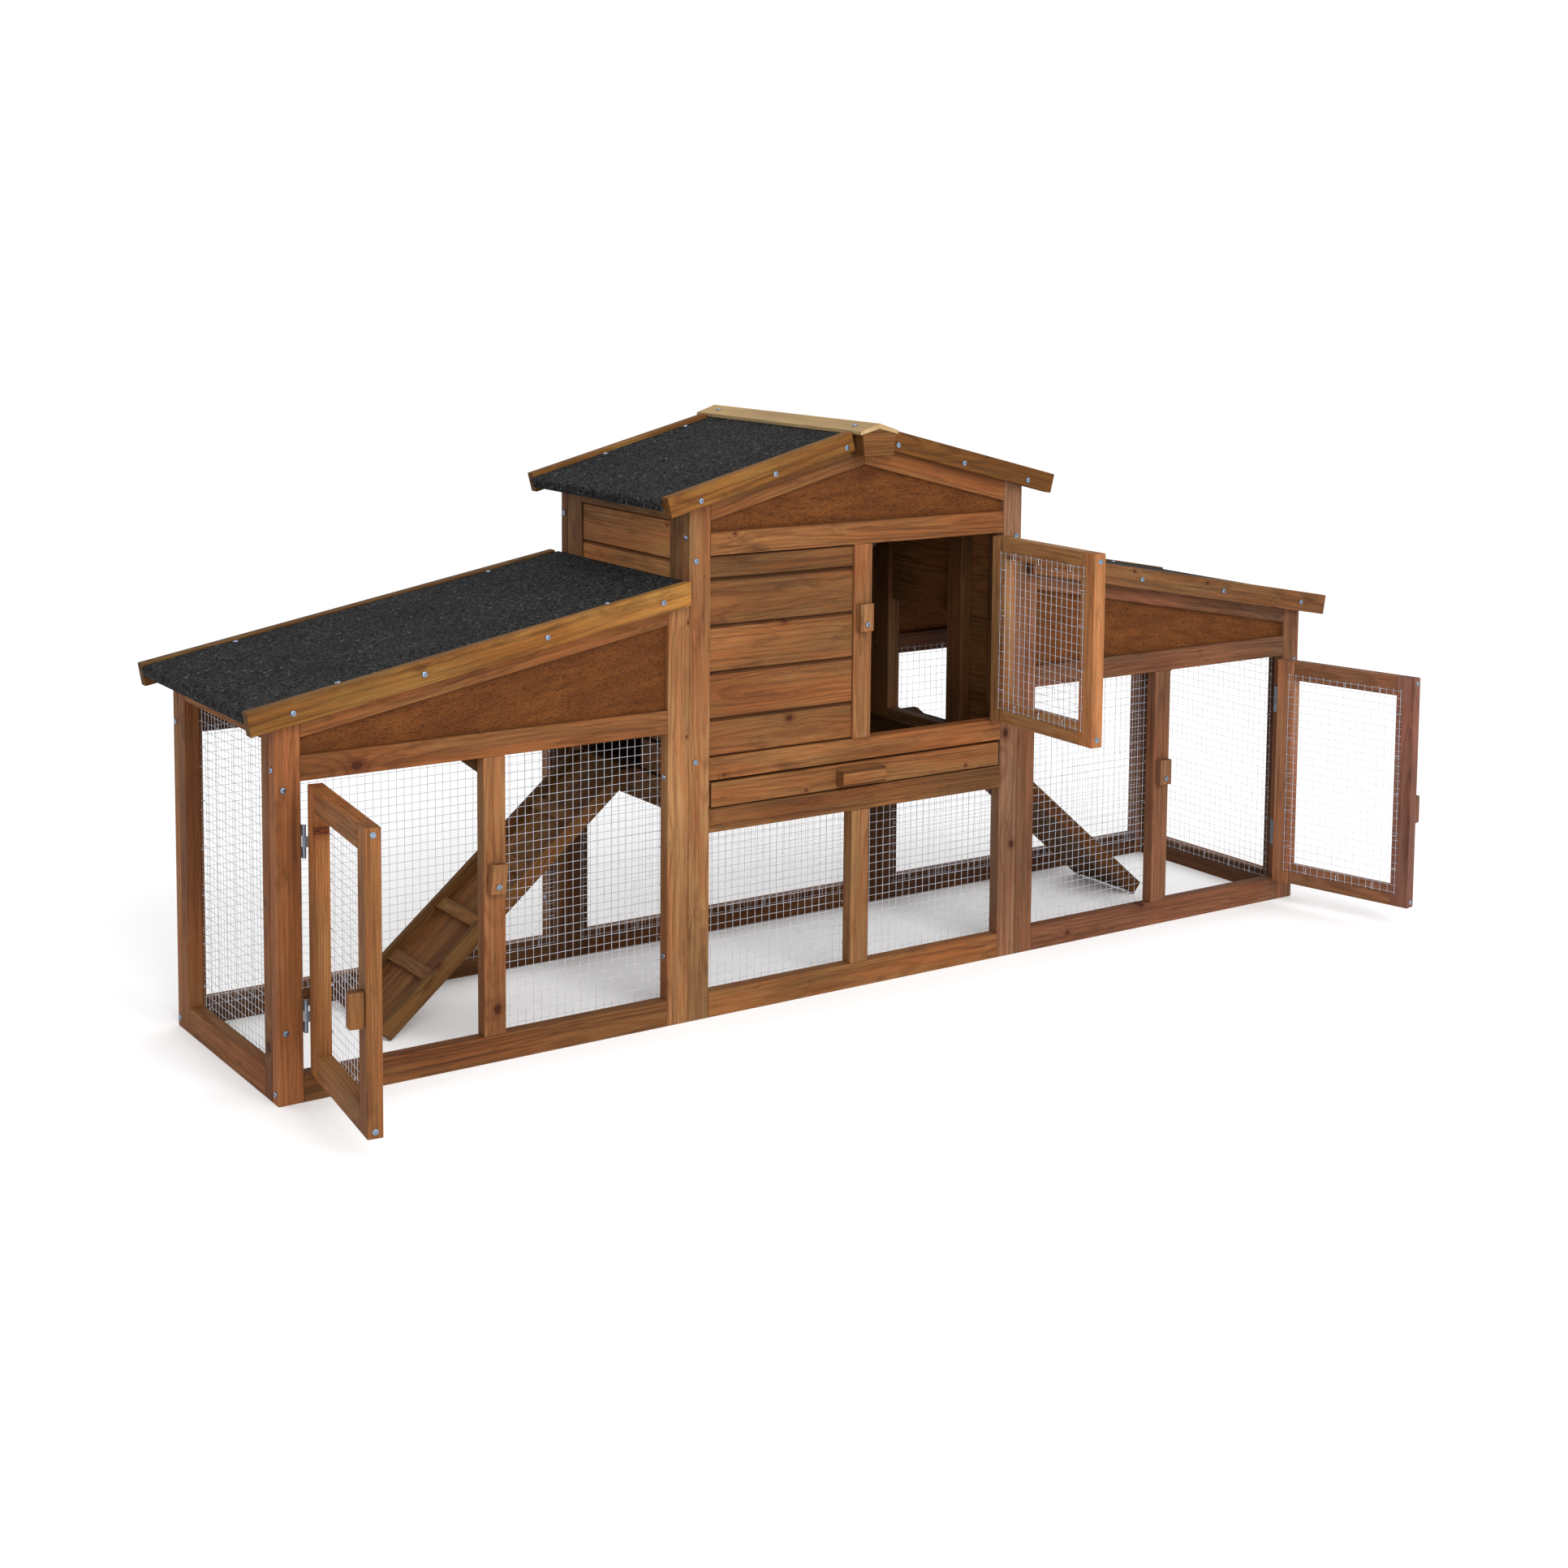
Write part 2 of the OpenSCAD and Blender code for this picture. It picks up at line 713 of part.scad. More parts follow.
module tray_front() color(timber)
  bar([-tray_w / 2, tray_w / 2], [0, tray_front_t], [tray_front_z, tray_front_z + tray_front_h]);

runner_top = tray_rail_top + 3;

module tray_pan() color(dark_timber) {
  x = tray_in_w / 2;
  y0 = tray_front_t;
  y1 = y0 + tray_in_d;
  floor_z = runner_top + gap;
  side_z = floor_z + tray_floor_t + gap;
  bar([-x, x], [y0, y1], [floor_z, floor_z + tray_floor_t]);
  bar([-x, -x + tray_side_t], [y0, y1], [side_z, side_z + tray_side_h]);
  bar([x - tray_side_t, x], [y0, y1], [side_z, side_z + tray_side_h]);
  bar([-x + tray_side_t + gap, x - tray_side_t - gap], [y1 - tray_side_t, y1], [side_z, side_z + tray_side_h]);
}

// A batten with bevelled edges that the tray is pulled by
module tray_handle() color(timber) {
  half = 40;
  middle_x = -6;
  tall = 24;
  deep = 20;
  bevel = 4;
  mid_z = tray_front_z + tray_front_h / 2;
  rotate([90, 0, 90]) translate([0, 0, middle_x - half]) linear_extrude(2 * half)
    polygon([
      [0, mid_z - tall / 2],
      [-deep + bevel, mid_z - tall / 2],
      [-deep, mid_z - tall / 2 + bevel],
      [-deep, mid_z + tall / 2 - bevel],
      [-deep + bevel, mid_z + tall / 2],
      [0, mid_z + tall / 2]
    ]);
}

module tray_runners() color(timber)
  both_sides()
    bar([tower_x - frame_t - runner_w, tower_x - frame_t - gap], [frame_t + gap, back_y - gap],
        [runner_top - runner_h, runner_top]);

// ---------------------------------------------------------------- screws

// A pan-head screw driven along -Z into the surface at the origin
module screw(length) {
  cylinder(r = head_r, h = head_h);
  translate([0, 0, -length]) cylinder(r = shank_r, h = length);
}

// Screws through the front and back of something at x, z; front and back are the outer faces
module screw_pair(x, z, front, back, length) {
  translate([x, front, z]) rotate([90, 0, 0]) screw(length);
  translate([x, back, z]) rotate([-90, 0, 0]) screw(length);
}

// Screws into a side face at x, driven towards the middle of the hutch
module side_face_screws(x, y, z, length)
  for (screw_y = y, screw_z = z) translate([x, screw_y, screw_z]) rotate([0, 90, 0]) screw(length);

module half_screws() {
  barge_front = roof_y0 - barge_gap - barge_t;
  barge_back = roof_y1 + barge_gap + barge_t;
  barge_drop = 3;
  barge_screw = 32;
  stile_screw = 40;
  edge_screw = 30;
  felt_screw = 8;
  felt_margin = 7;
  middle_y = [frame_t / 2, frame_d - frame_t / 2];
  // Barge boards, through to the sloping rails
  for (x = [tower_x + 55:183:run_x])
    screw_pair(x, run_under(x) - barge_drop, barge_front, barge_back, barge_screw);
  for (x = [47:125.5:tower_x])
    screw_pair(x, tower_under(x) - barge_drop, barge_front, barge_back, barge_screw);
  // Corner stiles, into the end frame and the tower's side frame
  for (z = [97, 418]) screw_pair(run_x - end_t / 2, z, 0, frame_d, stile_screw);
  for (z = [381, 672]) screw_pair(tower_x - frame_t / 2, z, 0, frame_d, stile_screw);
  // Edges of the stiles
  side_face_screws(run_x, middle_y, [14, 444], edge_screw);
  side_face_screws(tower_x, middle_y, [705], edge_screw);
  side_face_screws(run_in_x, middle_y, [101, 363], stile_screw);
  // Felt, along its front and back edges
  felt_y = [felt_margin, frame_d - felt_margin];
  for (y = felt_y, down = [129, 537])
    on_run_roof() translate([down, y, roof_t + felt_t]) screw(felt_screw);
  for (y = felt_y, down = [83, 234])
    on_tower_roof() translate([down, y, roof_t + felt_t]) screw(felt_screw);
}

module screws() color(zinc) {
  both_sides() half_screws();
  // Ridge cap, halfway down its left slope
  cap_margin = 2;
  cap_screw = 5;
  cap_x = cap_half / 2;
  cap_sink = 1;
  for (y = [cap_margin, frame_d - cap_margin])
    translate([-cap_x, y, cap_z + cap_t - cap_x * tower_tan - cap_sink])
      rotate([0, -tower_slope, 0])
        screw(cap_screw);
}

// ---------------------------------------------------------------- nodes

mirror([1, 0, 0]) run_posts();  // left_run_posts
mirror([1, 0, 0]) run_rails();  // left_run_rails
mirror([1, 0, 0]) run_wedge_panels();  // left_run_wedge_panels
mirror([1, 0, 0]) run_mesh();  // left_run_mesh
mirror([1, 0, 0]) run_roof_board();  // left_run_roof_board
mirror([1, 0, 0]) run_roof_felt();  // left_run_roof_felt
mirror([1, 0, 0]) ramp_sides();  // left_ramp_sides
mirror([1, 0, 0]) ramp_planks();  // left_ramp_planks
run_posts();  // right_run_posts
run_rails();  // right_run_rails
run_wedge_panels();  // right_run_wedge_panels
run_mesh();  // right_run_mesh
run_roof_board();  // right_run_roof_board
run_roof_felt();  // right_run_roof_felt
ramp_sides();  // right_ramp_sides
ramp_planks();  // right_ramp_planks
run_barges();
ramp_cleats();
left_door() door_stiles(run_axis_x, run_door_w, run_door_z);  // left_door_stiles
left_door() door_rails(run_axis_x, run_door_w, run_door_z);  // left_door_rails
left_door() door_mesh(run_axis_x, run_door_w, run_door_z);  // left_door_mesh
left_door() door_handle();  // left_door_handle
left_door() door_leaves(run_axis_x, run_door_z);  // left_door_hinge_leaves
right_door() door_stiles(run_axis_x, run_door_w, run_door_z);  // right_door_stiles
right_door() door_rails(run_axis_x, run_door_w, run_door_z);  // right_door_rails
right_door() door_mesh(run_axis_x, run_door_w, run_door_z);  // right_door_mesh
right_door() door_handle();  // right_door_handle
right_door() door_leaves(run_axis_x, run_door_z);  // right_door_hinge_leaves
upper_door() door_stiles(upper_axis_x, upper_door_w, upper_door_z);  // upper_door_stiles
upper_door() door_rails(upper_axis_x, upper_door_w, upper_door_z);  // upper_door_rails
upper_door() door_mesh(upper_axis_x, upper_door_w, upper_door_z);  // upper_door_mesh
upper_door() door_leaves(upper_axis_x, upper_door_z);  // upper_door_hinge_leaves
frame_hinge_leaves();
hinge_pins();
turn_button(-run_post_x, run_pivot_z, button_lean);  // left_turn_button
turn_button(run_post_x, run_pivot_z, 0);  // right_turn_button
turn_button(0, upper_pivot_z, 0);  // upper_turn_button
pivot_screws();
tower_front_posts();
tower_front_rails();
tower_back_posts();
tower_back_rails();
tower_side_frames();
front_cladding();
back_cladding();
side_cladding();
gable_panels();
tower_mesh();
tower_roof_boards();
tower_roof_felts();
tower_barges();
ridge_cap();
ridge_end_blocks();
tray_front();
tray_pan();
tray_handle();
tray_runners();
corner_gussets();
screws();
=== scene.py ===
"""Looks of the rabbit hutch: stained boards, mineral felt, welded wire and zinc fixings."""
import json
import math
import random

import bmesh
import bpy
from mathutils import Matrix, Vector

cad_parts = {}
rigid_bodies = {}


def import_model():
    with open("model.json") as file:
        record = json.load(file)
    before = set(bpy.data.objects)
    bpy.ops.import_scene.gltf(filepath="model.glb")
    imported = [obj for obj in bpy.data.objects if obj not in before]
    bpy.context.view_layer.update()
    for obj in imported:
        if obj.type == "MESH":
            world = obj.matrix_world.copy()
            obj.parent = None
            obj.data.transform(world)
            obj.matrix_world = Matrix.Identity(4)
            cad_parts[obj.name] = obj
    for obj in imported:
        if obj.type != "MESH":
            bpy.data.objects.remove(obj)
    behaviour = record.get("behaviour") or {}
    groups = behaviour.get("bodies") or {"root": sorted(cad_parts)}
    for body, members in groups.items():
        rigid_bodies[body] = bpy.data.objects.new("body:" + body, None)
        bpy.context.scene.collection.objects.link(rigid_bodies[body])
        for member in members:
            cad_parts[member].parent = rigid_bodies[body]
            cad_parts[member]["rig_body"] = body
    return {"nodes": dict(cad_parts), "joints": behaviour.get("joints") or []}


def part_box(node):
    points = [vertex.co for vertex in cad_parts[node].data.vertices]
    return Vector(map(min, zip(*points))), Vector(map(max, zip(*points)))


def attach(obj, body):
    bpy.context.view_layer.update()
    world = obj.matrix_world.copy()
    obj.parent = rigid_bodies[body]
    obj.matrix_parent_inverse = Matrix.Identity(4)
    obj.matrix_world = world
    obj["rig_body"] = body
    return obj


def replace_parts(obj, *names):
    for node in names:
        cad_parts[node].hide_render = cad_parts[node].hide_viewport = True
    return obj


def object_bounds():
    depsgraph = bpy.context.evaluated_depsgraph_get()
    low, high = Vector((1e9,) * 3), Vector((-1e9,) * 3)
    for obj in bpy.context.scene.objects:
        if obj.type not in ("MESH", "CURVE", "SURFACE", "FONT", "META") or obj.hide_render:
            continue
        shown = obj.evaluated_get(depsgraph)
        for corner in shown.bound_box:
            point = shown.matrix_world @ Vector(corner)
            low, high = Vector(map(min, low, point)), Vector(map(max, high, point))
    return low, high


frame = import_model()
cad_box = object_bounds()

MM = 0.001
Y, Z = Vector((0, 1, 0)), Vector((0, 0, 1))

# Where every board's far end lies: most of all up, then back, then right
UPHILL = Vector((1, 2, 3))

# Camera: where it stands in metres, its turn in degrees, and its lens and shift in frame widths
CAMERA_AT = Vector((-2.0103, -2.7802, 1.1185))
CAMERA_AZIMUTH = -33.87
CAMERA_ELEVATION = 5.52
CAMERA_ROLL = 0.47
CAMERA_FOCAL = 1.4767
CAMERA_SHIFT = -0.20

# Studio: the floor's half width and brightness, and the brightness of the surround
FLOOR_REACH = 30
FLOOR_WHITE = 0.985
SURROUND = 1.02

# CAD meshes: how near two points count as one, and how flat a fold counts as none
WELD = 0.01 * MM
FLAT = math.radians(0.6)

# Timber edges: how far they are eased, and the shortest edge and the flattest fold that are
EDGE_ROUND = 1.5 * MM
CLADDING_ROUND = 3 * MM
HANDLE_ROUND = 2.5 * MM
PLY_ROUND = 0.4 * MM
SHORT_EDGE = 6 * MM
BLUNT_FOLD = math.radians(20)

# Timber faces, as cosines: end grain is over the first, a face square to its board is over the second,
# and an edge across the grain is under the third
END_GRAIN = 0.9
SQUARE = 0.85
CROSSING = 0.35

# The log: how far along it a board may start, and how many millimetres aside of its pith and off it
LOG_LENGTH = 40
CUT_ASIDE = 18
CUT_DEPTH = (18, 55)

# Grain: a ring's width, the cells a metre along and across that may hold a knot, how many do, and its size
RING = 3.4 * MM
KNOT_CELLS = (6.2, 15.0)
KNOT_CHANCE = 0.3
KNOT_SIZE = (1.8 * MM, 6.2 * MM)

# How far a board's hue may stray from its node's, and twice as far as its brightness may
TONE_SPREAD = 0.22

# Where less light falls: the upper room, and the runs with the space under the room, open downwards
BOARD_SKIN = 4 * MM
BELOW = 1
SIDE_WALLS, FRONT_WALL, BACK_WALL = (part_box(side + "_cladding") for side in ("side", "front", "back"))
ROOM_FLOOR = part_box("tray_pan")[0][2]
ROOM_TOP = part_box("tower_roof_boards")[1][2]
ROOM = (Vector((SIDE_WALLS[0][0] + BOARD_SKIN, FRONT_WALL[0][1] + 2 * BOARD_SKIN, ROOM_FLOOR)),
        Vector((SIDE_WALLS[1][0] - BOARD_SKIN, BACK_WALL[0][1] + BOARD_SKIN, ROOM_TOP)))
RUNS = (Vector(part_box("left_run_mesh")[0]) - Vector((BOARD_SKIN, BOARD_SKIN, BELOW)),
        Vector(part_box("right_run_mesh")[1]) + Vector((BOARD_SKIN, BOARD_SKIN, 0)))
INDOOR_SHADE = 0.5

# Felt: its thickness, its gap at the ridge, the bend over the eave and how far it hangs below the board
FELT_T = 2.5 * MM
FELT_GAP = 1.5 * MM
FELT_BEND = 5 * MM
FELT_LAP = 3 * MM

# The felt's mesh: steps down the slope, round the bend and across
FELT_STEPS = 40
BEND_STEPS = 6
FELT_COLUMNS = 44

# How many millimetres the felt may dip into its own thickness
FELT_DIP = 0.2

# Wire mesh: its pitch, its wire and the free ends past the last weld
WIRE_PITCH = 12.7 * MM
WIRE_R = 0.32 * MM
WIRE_STUB = 3.5 * MM
STUB_RANGE = (0.5, 1.1)

# How far each layer of wires lies off the middle, how far a wire strays and how often it does
WIRE_LAYER = 0.95 * WIRE_R
WIRE_STRAY = 0.35 * MM
STRAY_SPACING = 5 * WIRE_PITCH

# Staples: their wire and crown, how far crown and legs stand off the panel, and how deep the legs go
STAPLE_R = 0.55 * MM
STAPLE_CROWN = 9 * MM
CROWN_RISE = 0.3 * STAPLE_R
LEG_RISE = 0.6 * STAPLE_R
LEG_DEPTH = 3 * MM

# Rows of staples: the spacing, the place in from the panel's edge, and how uneven and askew they are
STAPLE_SPACING = 62 * MM
STAPLE_EDGE = 7 * MM
STAPLE_JITTER = 0.12
STAPLE_SKEW = 0.2
SKEW_SHARE = 0.6

# Screws: pan heads and shanks, and the height of the plain heads in the CAD model
HEAD_R = 4 * MM
HEAD_H = 2.1 * MM
HEAD_SIDES = 28
SHANK_R = 1.9 * MM
SHANK_SIDES = 10
SHANK_RISE = 0.2 * MM
CAD_HEAD_H = 2 * MM

# Screws in the free edge of a door: low heads that clear the post, and how far from its ends
EDGE_HEAD_H = 1.2 * MM
EDGE_SHANK = 30 * MM
RUN_DOOR_INSET = 9 * MM
NEST_DOOR_INSET = 12 * MM

# Screws in a hinge leaf: small ones, above and below its middle
LEAF_HEAD_R = 2.4 * MM
LEAF_HEAD_H = 0.7 * MM
LEAF_SHANK = 1 * MM
LEAF_SCREW_RISE = 12 * MM


# ------------------------------------------------------------------ mesh helpers

def new_piece(name, bm, material, smooth_below=None):
    """Turns a bmesh into an object; folds under smooth_below, in degrees, are shaded smooth."""
    mesh = bpy.data.meshes.new(name)
    bm.to_mesh(mesh)
    bm.free()
    if smooth_below is not None:
        mesh.polygons.foreach_set("use_smooth", [True] * len(mesh.polygons))
        mesh.set_sharp_from_angle(angle=math.radians(smooth_below))
    piece = bpy.data.objects.new(name, mesh)
    bpy.context.scene.collection.objects.link(piece)
    mesh.materials.append(material)
    return piece


def clean_copy(node):
    """A bmesh of a CAD node with its triangles joined into flat faces."""
    bm = bmesh.new()
    bm.from_mesh(frame["nodes"][node].data)
    bmesh.ops.remove_doubles(bm, verts=bm.verts, dist=WELD)
    bmesh.ops.dissolve_limit(bm, angle_limit=FLAT, verts=bm.verts, edges=bm.edges)
    return bm


def islands(bm):
    """The separate solids of a bmesh, as lists of vertices in a fixed order."""
    found, seen = [], set()
    bm.verts.ensure_lookup_table()
    for start in bm.verts:
        if start in seen:
            continue
        group, queue = [], [start]
        seen.add(start)
        while queue:
            vert = queue.pop()
            group.append(vert)
            for edge in vert.link_edges:
                other = edge.other_vert(vert)
                if other not in seen:
                    seen.add(other)
                    queue.append(other)
        found.append(group)
    return sorted(found, key=lambda group: [round(min(v.co[i] for v in group), 4) for i in range(3)])


def edges_of(verts):
    """The edges of a solid, each once and in a fixed order."""
    return list(dict.fromkeys(edge for v in verts for edge in v.link_edges))


def faces_of(verts):
    """The faces of a solid, each once and in a fixed order."""
    return list(dict.fromkeys(face for v in verts for face in v.link_faces))


def span(points):
    """The lowest and highest corners of some points."""
    return (Vector([min(p[i] for p in points) for i in range(3)]),
            Vector([max(p[i] for p in points) for i in range(3)]))


def join_rings(bm, rings):
    """Builds the wall between rings of vertices and closes it under the first."""
    for a, b in zip(rings, rings[1:]):
        for i in range(len(a)):
            j = (i + 1) % len(a)
            bm.faces.new([a[i], a[j], b[j], b[i]])
    bm.faces.new(rings[0][::-1])


def tube(bm, points, radius, sides=6):
    """A closed round wire along a nearly straight line of points."""
    way = (points[-1] - points[0]).normalized()
    side = way.orthogonal().normalized()
    other = way.cross(side)
    turns = [2 * math.pi * i / sides for i in range(sides)]
    rings = []
    for point in points:
        spots = [point + (side * math.cos(turn) + other * math.sin(turn)) * radius for turn in turns]
        rings.append([bm.verts.new(spot) for spot in spots])
    join_rings(bm, rings)
    bm.faces.new(rings[-1])


# ------------------------------------------------------------------ boards

def board_axes(verts):
    """A board's directions: along the grain, across its face, and through it."""
    edges = sorted(edges_of(verts), key=lambda e: -e.calc_length())
    along = (edges[0].verts[1].co - edges[0].verts[0].co).normalized()
    if along.dot(UPHILL) < 0:
        along = -along
    across = None
    for edge in edges:
        way = (edge.verts[1].co - edge.verts[0].co).normalized()
        if abs(way.dot(along)) < CROSSING:
            across = (way - along * way.dot(along)).normalized()
            break
    return along, across, along.cross(across)


def is_indoors(point, node):
    """Whether a point lies in the upper room, or on what faces into the runs."""
    room, runs = (all(a < p < b for a, p, b in zip(low, point, high)) for low, high in (ROOM, RUNS))
    return room or (runs and "ramp" not in node and "tray" not in node)


def place_in_log(rng):
    """Where in a log a board is cut: along it, aside of its pith and from its pith."""
    along = rng.uniform(0, LOG_LENGTH)
    aside = rng.uniform(-CUT_ASIDE, CUT_ASIDE) * MM
    depth = rng.uniform(*CUT_DEPTH) * MM * rng.choice((-1, 1))
    return Vector((along, aside, depth))


def board_tone(node, number, hue, light, rng):
    """A board's hue, brightness, extra blueness that paints cooler light on the right side, and gain in
    brightness towards its far end.
    """
    drawn_hue = hue + rng.uniform(-TONE_SPREAD, TONE_SPREAD)
    drawn_light = light * (1 + rng.uniform(-TONE_SPREAD, TONE_SPREAD) * 0.5)
    tone = SINGLE_BOARDS.get(node, {}).get(number, (drawn_hue, drawn_light))
    return (tone + (0, 0))[:4]


def boards(node, material, hue=0.0, light=1.0, round_edge=EDGE_ROUND):
    """Replaces a timber node: each board gets eased edges, its own grain and its own shade.

    hue runs from -1, reddish, to 1, olive, and light is 1 for a board of the usual brightness.
    """
    rng = random.Random(node)
    bm = clean_copy(node)
    edges = [e for e in bm.edges if e.calc_length() > SHORT_EDGE and len(e.link_faces) == 2
             and e.calc_face_angle(0) > BLUNT_FOLD]
    eased = bmesh.ops.bevel(bm, geom=edges, offset=round_edge, segments=2, profile=0.6,
                            affect="EDGES", clamp_overlap=True)["faces"]
    grain = bm.verts.layers.float_vector.new("grain")
    shade = bm.verts.layers.float_vector.new("shade")
    end = bm.faces.layers.float.new("end_grain")
    edge = bm.faces.layers.float.new("edge")
    indoors = bm.faces.layers.float.new("indoors")
    for number, verts in enumerate(islands(bm)):
        axes = board_axes(verts)
        along = axes[0]
        middle = sum((v.co for v in verts), Vector()) / len(verts)
        reach = max(abs((v.co - middle).dot(along)) for v in verts)
        start = place_in_log(rng)
        own_hue, own_light, painted_cool, slope = board_tone(node, number, hue, light, rng)
        for v in verts:
            local = v.co - middle
            v[grain] = start + Vector([local.dot(axis) for axis in axes])
            v[shade] = Vector((own_hue, own_light * (1 + slope * local.dot(along) / reach), painted_cool))
        for face in faces_of(verts):
            face[end] = float(abs(face.normal.dot(along)) > END_GRAIN)
            # Sloped faces, and the eased faces below, are marked for darkening: partly gathered stain, partly
            # painted shade in joints and grooves
            face[edge] = float(max(abs(face.normal.dot(axis)) for axis in axes) <= SQUARE)
            face[indoors] = float(is_indoors(face.calc_center_median(), node))
    for face in eased:
        if face.is_valid:
            face[edge] = 1.0
    piece = new_piece(node + "_boards", bm, material)
    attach(piece, frame["nodes"][node]["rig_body"])
    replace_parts(piece, node)


# ------------------------------------------------------------------ materials

class Shader:
    """A small helper that lays out nodes and links for one material."""

    def __init__(self, name):
        self.material = bpy.data.materials.new(name)
        self.material.use_nodes = True
        self.tree = self.material.node_tree
        self.bsdf = self.tree.nodes["Principled BSDF"]

    def node(self, kind, inputs=None, **settings):
        made = self.tree.nodes.new("ShaderNode" + kind)
        for key, value in settings.items():
            setattr(made, key, value)
        for key, value in (inputs or {}).items():
            self.feed(made.inputs[key], value)
        return made

    def feed(self, socket, value):
        if isinstance(value, bpy.types.NodeSocket):
            self.tree.links.new(value, socket)
        else:
            socket.default_value = value

    def math(self, operation, *values, clamp=False):
        made = self.node("Math", operation=operation, use_clamp=clamp)
        for socket, value in zip(made.inputs, values):
            self.feed(socket, value)
        return made.outputs[0]

    def attribute(self, name, output="Fac"):
        return self.node("Attribute", attribute_name=name).outputs[output]

    def stretch(self, vector, scale):
        return self.node("VectorMath", {0: vector, 1: scale}, operation="MULTIPLY").outputs[0]

    def noise(self, vector, scale, detail=2.0, roughness=0.5):
        """Noise whose scale is one number, or one number for each direction."""
        if isinstance(scale, tuple):
            vector = self.stretch(vector, scale)
            scale = 1.0
        inputs = {"Vector": vector, "Scale": scale, "Detail": detail, "Roughness": roughness}
        return self.node("TexNoise", inputs).outputs[0]

    def fit(self, value, low, high, to_low=0.0, to_high=1.0):
        """Carries the range from low to high over to another, and holds it at the ends."""
        inputs = {"Value": value, "From Min": low, "From Max": high, "To Min": to_low, "To Max": to_high}
        return self.node("MapRange", inputs).outputs[0]

    def smooth(self, value, low, high):
        """Runs softly from 0 to 1 as the value goes from low to high."""
        inputs = {"Value": value, "From Min": low, "From Max": high}
        return self.node("MapRange", inputs, interpolation_type="SMOOTHSTEP").outputs[0]

    def mix(self, factor, first, second):
        made = self.node("Mix", data_type="RGBA")
        self.feed(made.inputs[0], factor)
        self.feed(made.inputs[6], first)
        self.feed(made.inputs[7], second)
        return made.outputs[2]

    def cover(self, body, value, low, high, most, colour):
        """Lays a colour over the body, from none where the value is low to a share most where it is high."""
        return self.mix(self.fit(value, low, high, 0.0, most), body, colour)

    def bump(self, height, strength, distance):
        made = self.node("Bump", {"Height": height, "Strength": strength, "Distance": distance})
        self.tree.links.new(made.outputs[0], self.bsdf.inputs["Normal"])

    def finish(self, colour, roughness, **constants):
        self.feed(self.bsdf.inputs["Base Color"], colour)
        self.feed(self.bsdf.inputs["Roughness"], roughness)
        for key, value in constants.items():
            self.bsdf.inputs[key.replace("_", " ")].default_value = value
        return self.material


def linear(level):
    """The brightness of a colour channel given as it looks on a screen, 0 to 255."""
    share = level / 255
    return share / 12.92 if share <= 0.04045 else ((share + 0.055) / 1.055) ** 2.4


def rgb(red, green, blue):
    """A colour given as it looks on a screen, each channel 0 to 255."""
    return (linear(red), linear(green), linear(blue), 1.0)


def knots(s, grain, along, across):
    """Knots in a board: how near the closest is, and shares of its heart, its rim and its swelling."""
    cell_u, cell_v = KNOT_CELLS
    flat = s.node("CombineXYZ", {0: s.math("MULTIPLY", along, cell_u), 1: s.math("MULTIPLY", across, cell_v)})
    flat = flat.outputs[0]
    cells = s.node("TexVoronoi", {"Vector": flat, "Scale": 1.0}, voronoi_dimensions="2D")
    apart = s.node("VectorMath", {0: flat, 1: cells.outputs["Position"]}, operation="SUBTRACT").outputs[0]
    apart = s.stretch(apart, (0.75 / cell_u, 1.0 / cell_v, 0.0))
    away = s.node("VectorMath", {0: apart}, operation="LENGTH").outputs["Value"]
    chance = s.node("SeparateColor", {0: cells.outputs["Color"]})
    present = s.math("LESS_THAN", chance.outputs[0], KNOT_CHANCE)
    nearness = s.math("DIVIDE", away, s.fit(chance.outputs[1], 0.0, 1.0, *KNOT_SIZE))
    wobble = s.noise(grain, (190, 190, 190))
    nearness = s.math("ADD", nearness, s.fit(wobble, 0.0, 1.0, -0.3, 0.3))
    heart = s.math("MULTIPLY", present, s.math("SUBTRACT", 1.0, s.smooth(nearness, 0.7, 1.15)))
    rim = s.math("MULTIPLY", present, s.math("SUBTRACT", 1.0, s.smooth(nearness, 0.9, 2.8)))
    swell = s.math("EXPONENT", s.math("MULTIPLY", s.math("POWER", nearness, 2.0), -0.1))
    return nearness, heart, rim, s.math("MULTIPLY", present, swell)


def growth_rings(s, grain, across, through, swell):
    """The dark late wood of rings that drift along a board and flow round its knots."""
    drift = s.fit(s.noise(grain, (1.7, 5.0, 5.0)), 0.0, 1.0, -26 * MM, 26 * MM)
    sway = s.fit(s.noise(grain, (2.6, 9.0, 9.0), 1.0), 0.0, 1.0, -14 * MM, 14 * MM)
    shiver = s.fit(s.noise(grain, (14, 60, 60), 2.0), 0.0, 1.0, -1.6 * MM, 1.6 * MM)
    ring_y = s.math("ADD", across, drift)
    ring_z = s.math("ADD", through, sway)
    radius = s.math("SQRT", s.math("ADD", s.math("POWER", ring_y, 2.0), s.math("POWER", ring_z, 2.0)))
    radius = s.math("ADD", s.math("ADD", radius, shiver), s.math("MULTIPLY", swell, 6 * MM))
    phase = s.math("FRACT", s.math("DIVIDE", radius, RING))
    late_band = s.node("ValToRGB", {0: phase})
    ramp = late_band.color_ramp
    ramp.elements[0].color = (0.12, 0.12, 0.12, 1)
    ramp.elements[1].color = (0.15, 0.15, 0.15, 1)
    for position, level in ((0.25, 0.0), (0.6, 0.3), (0.82, 1.0), (0.93, 0.8)):
        ramp.elements.new(position).color = (level, level, level, 1)
    strength = s.fit(s.noise(grain, (1.2, 30, 30), 1.0), 0.32, 0.68, 0.3, 1.0)
    return s.math("MULTIPLY", late_band.outputs[0], strength)


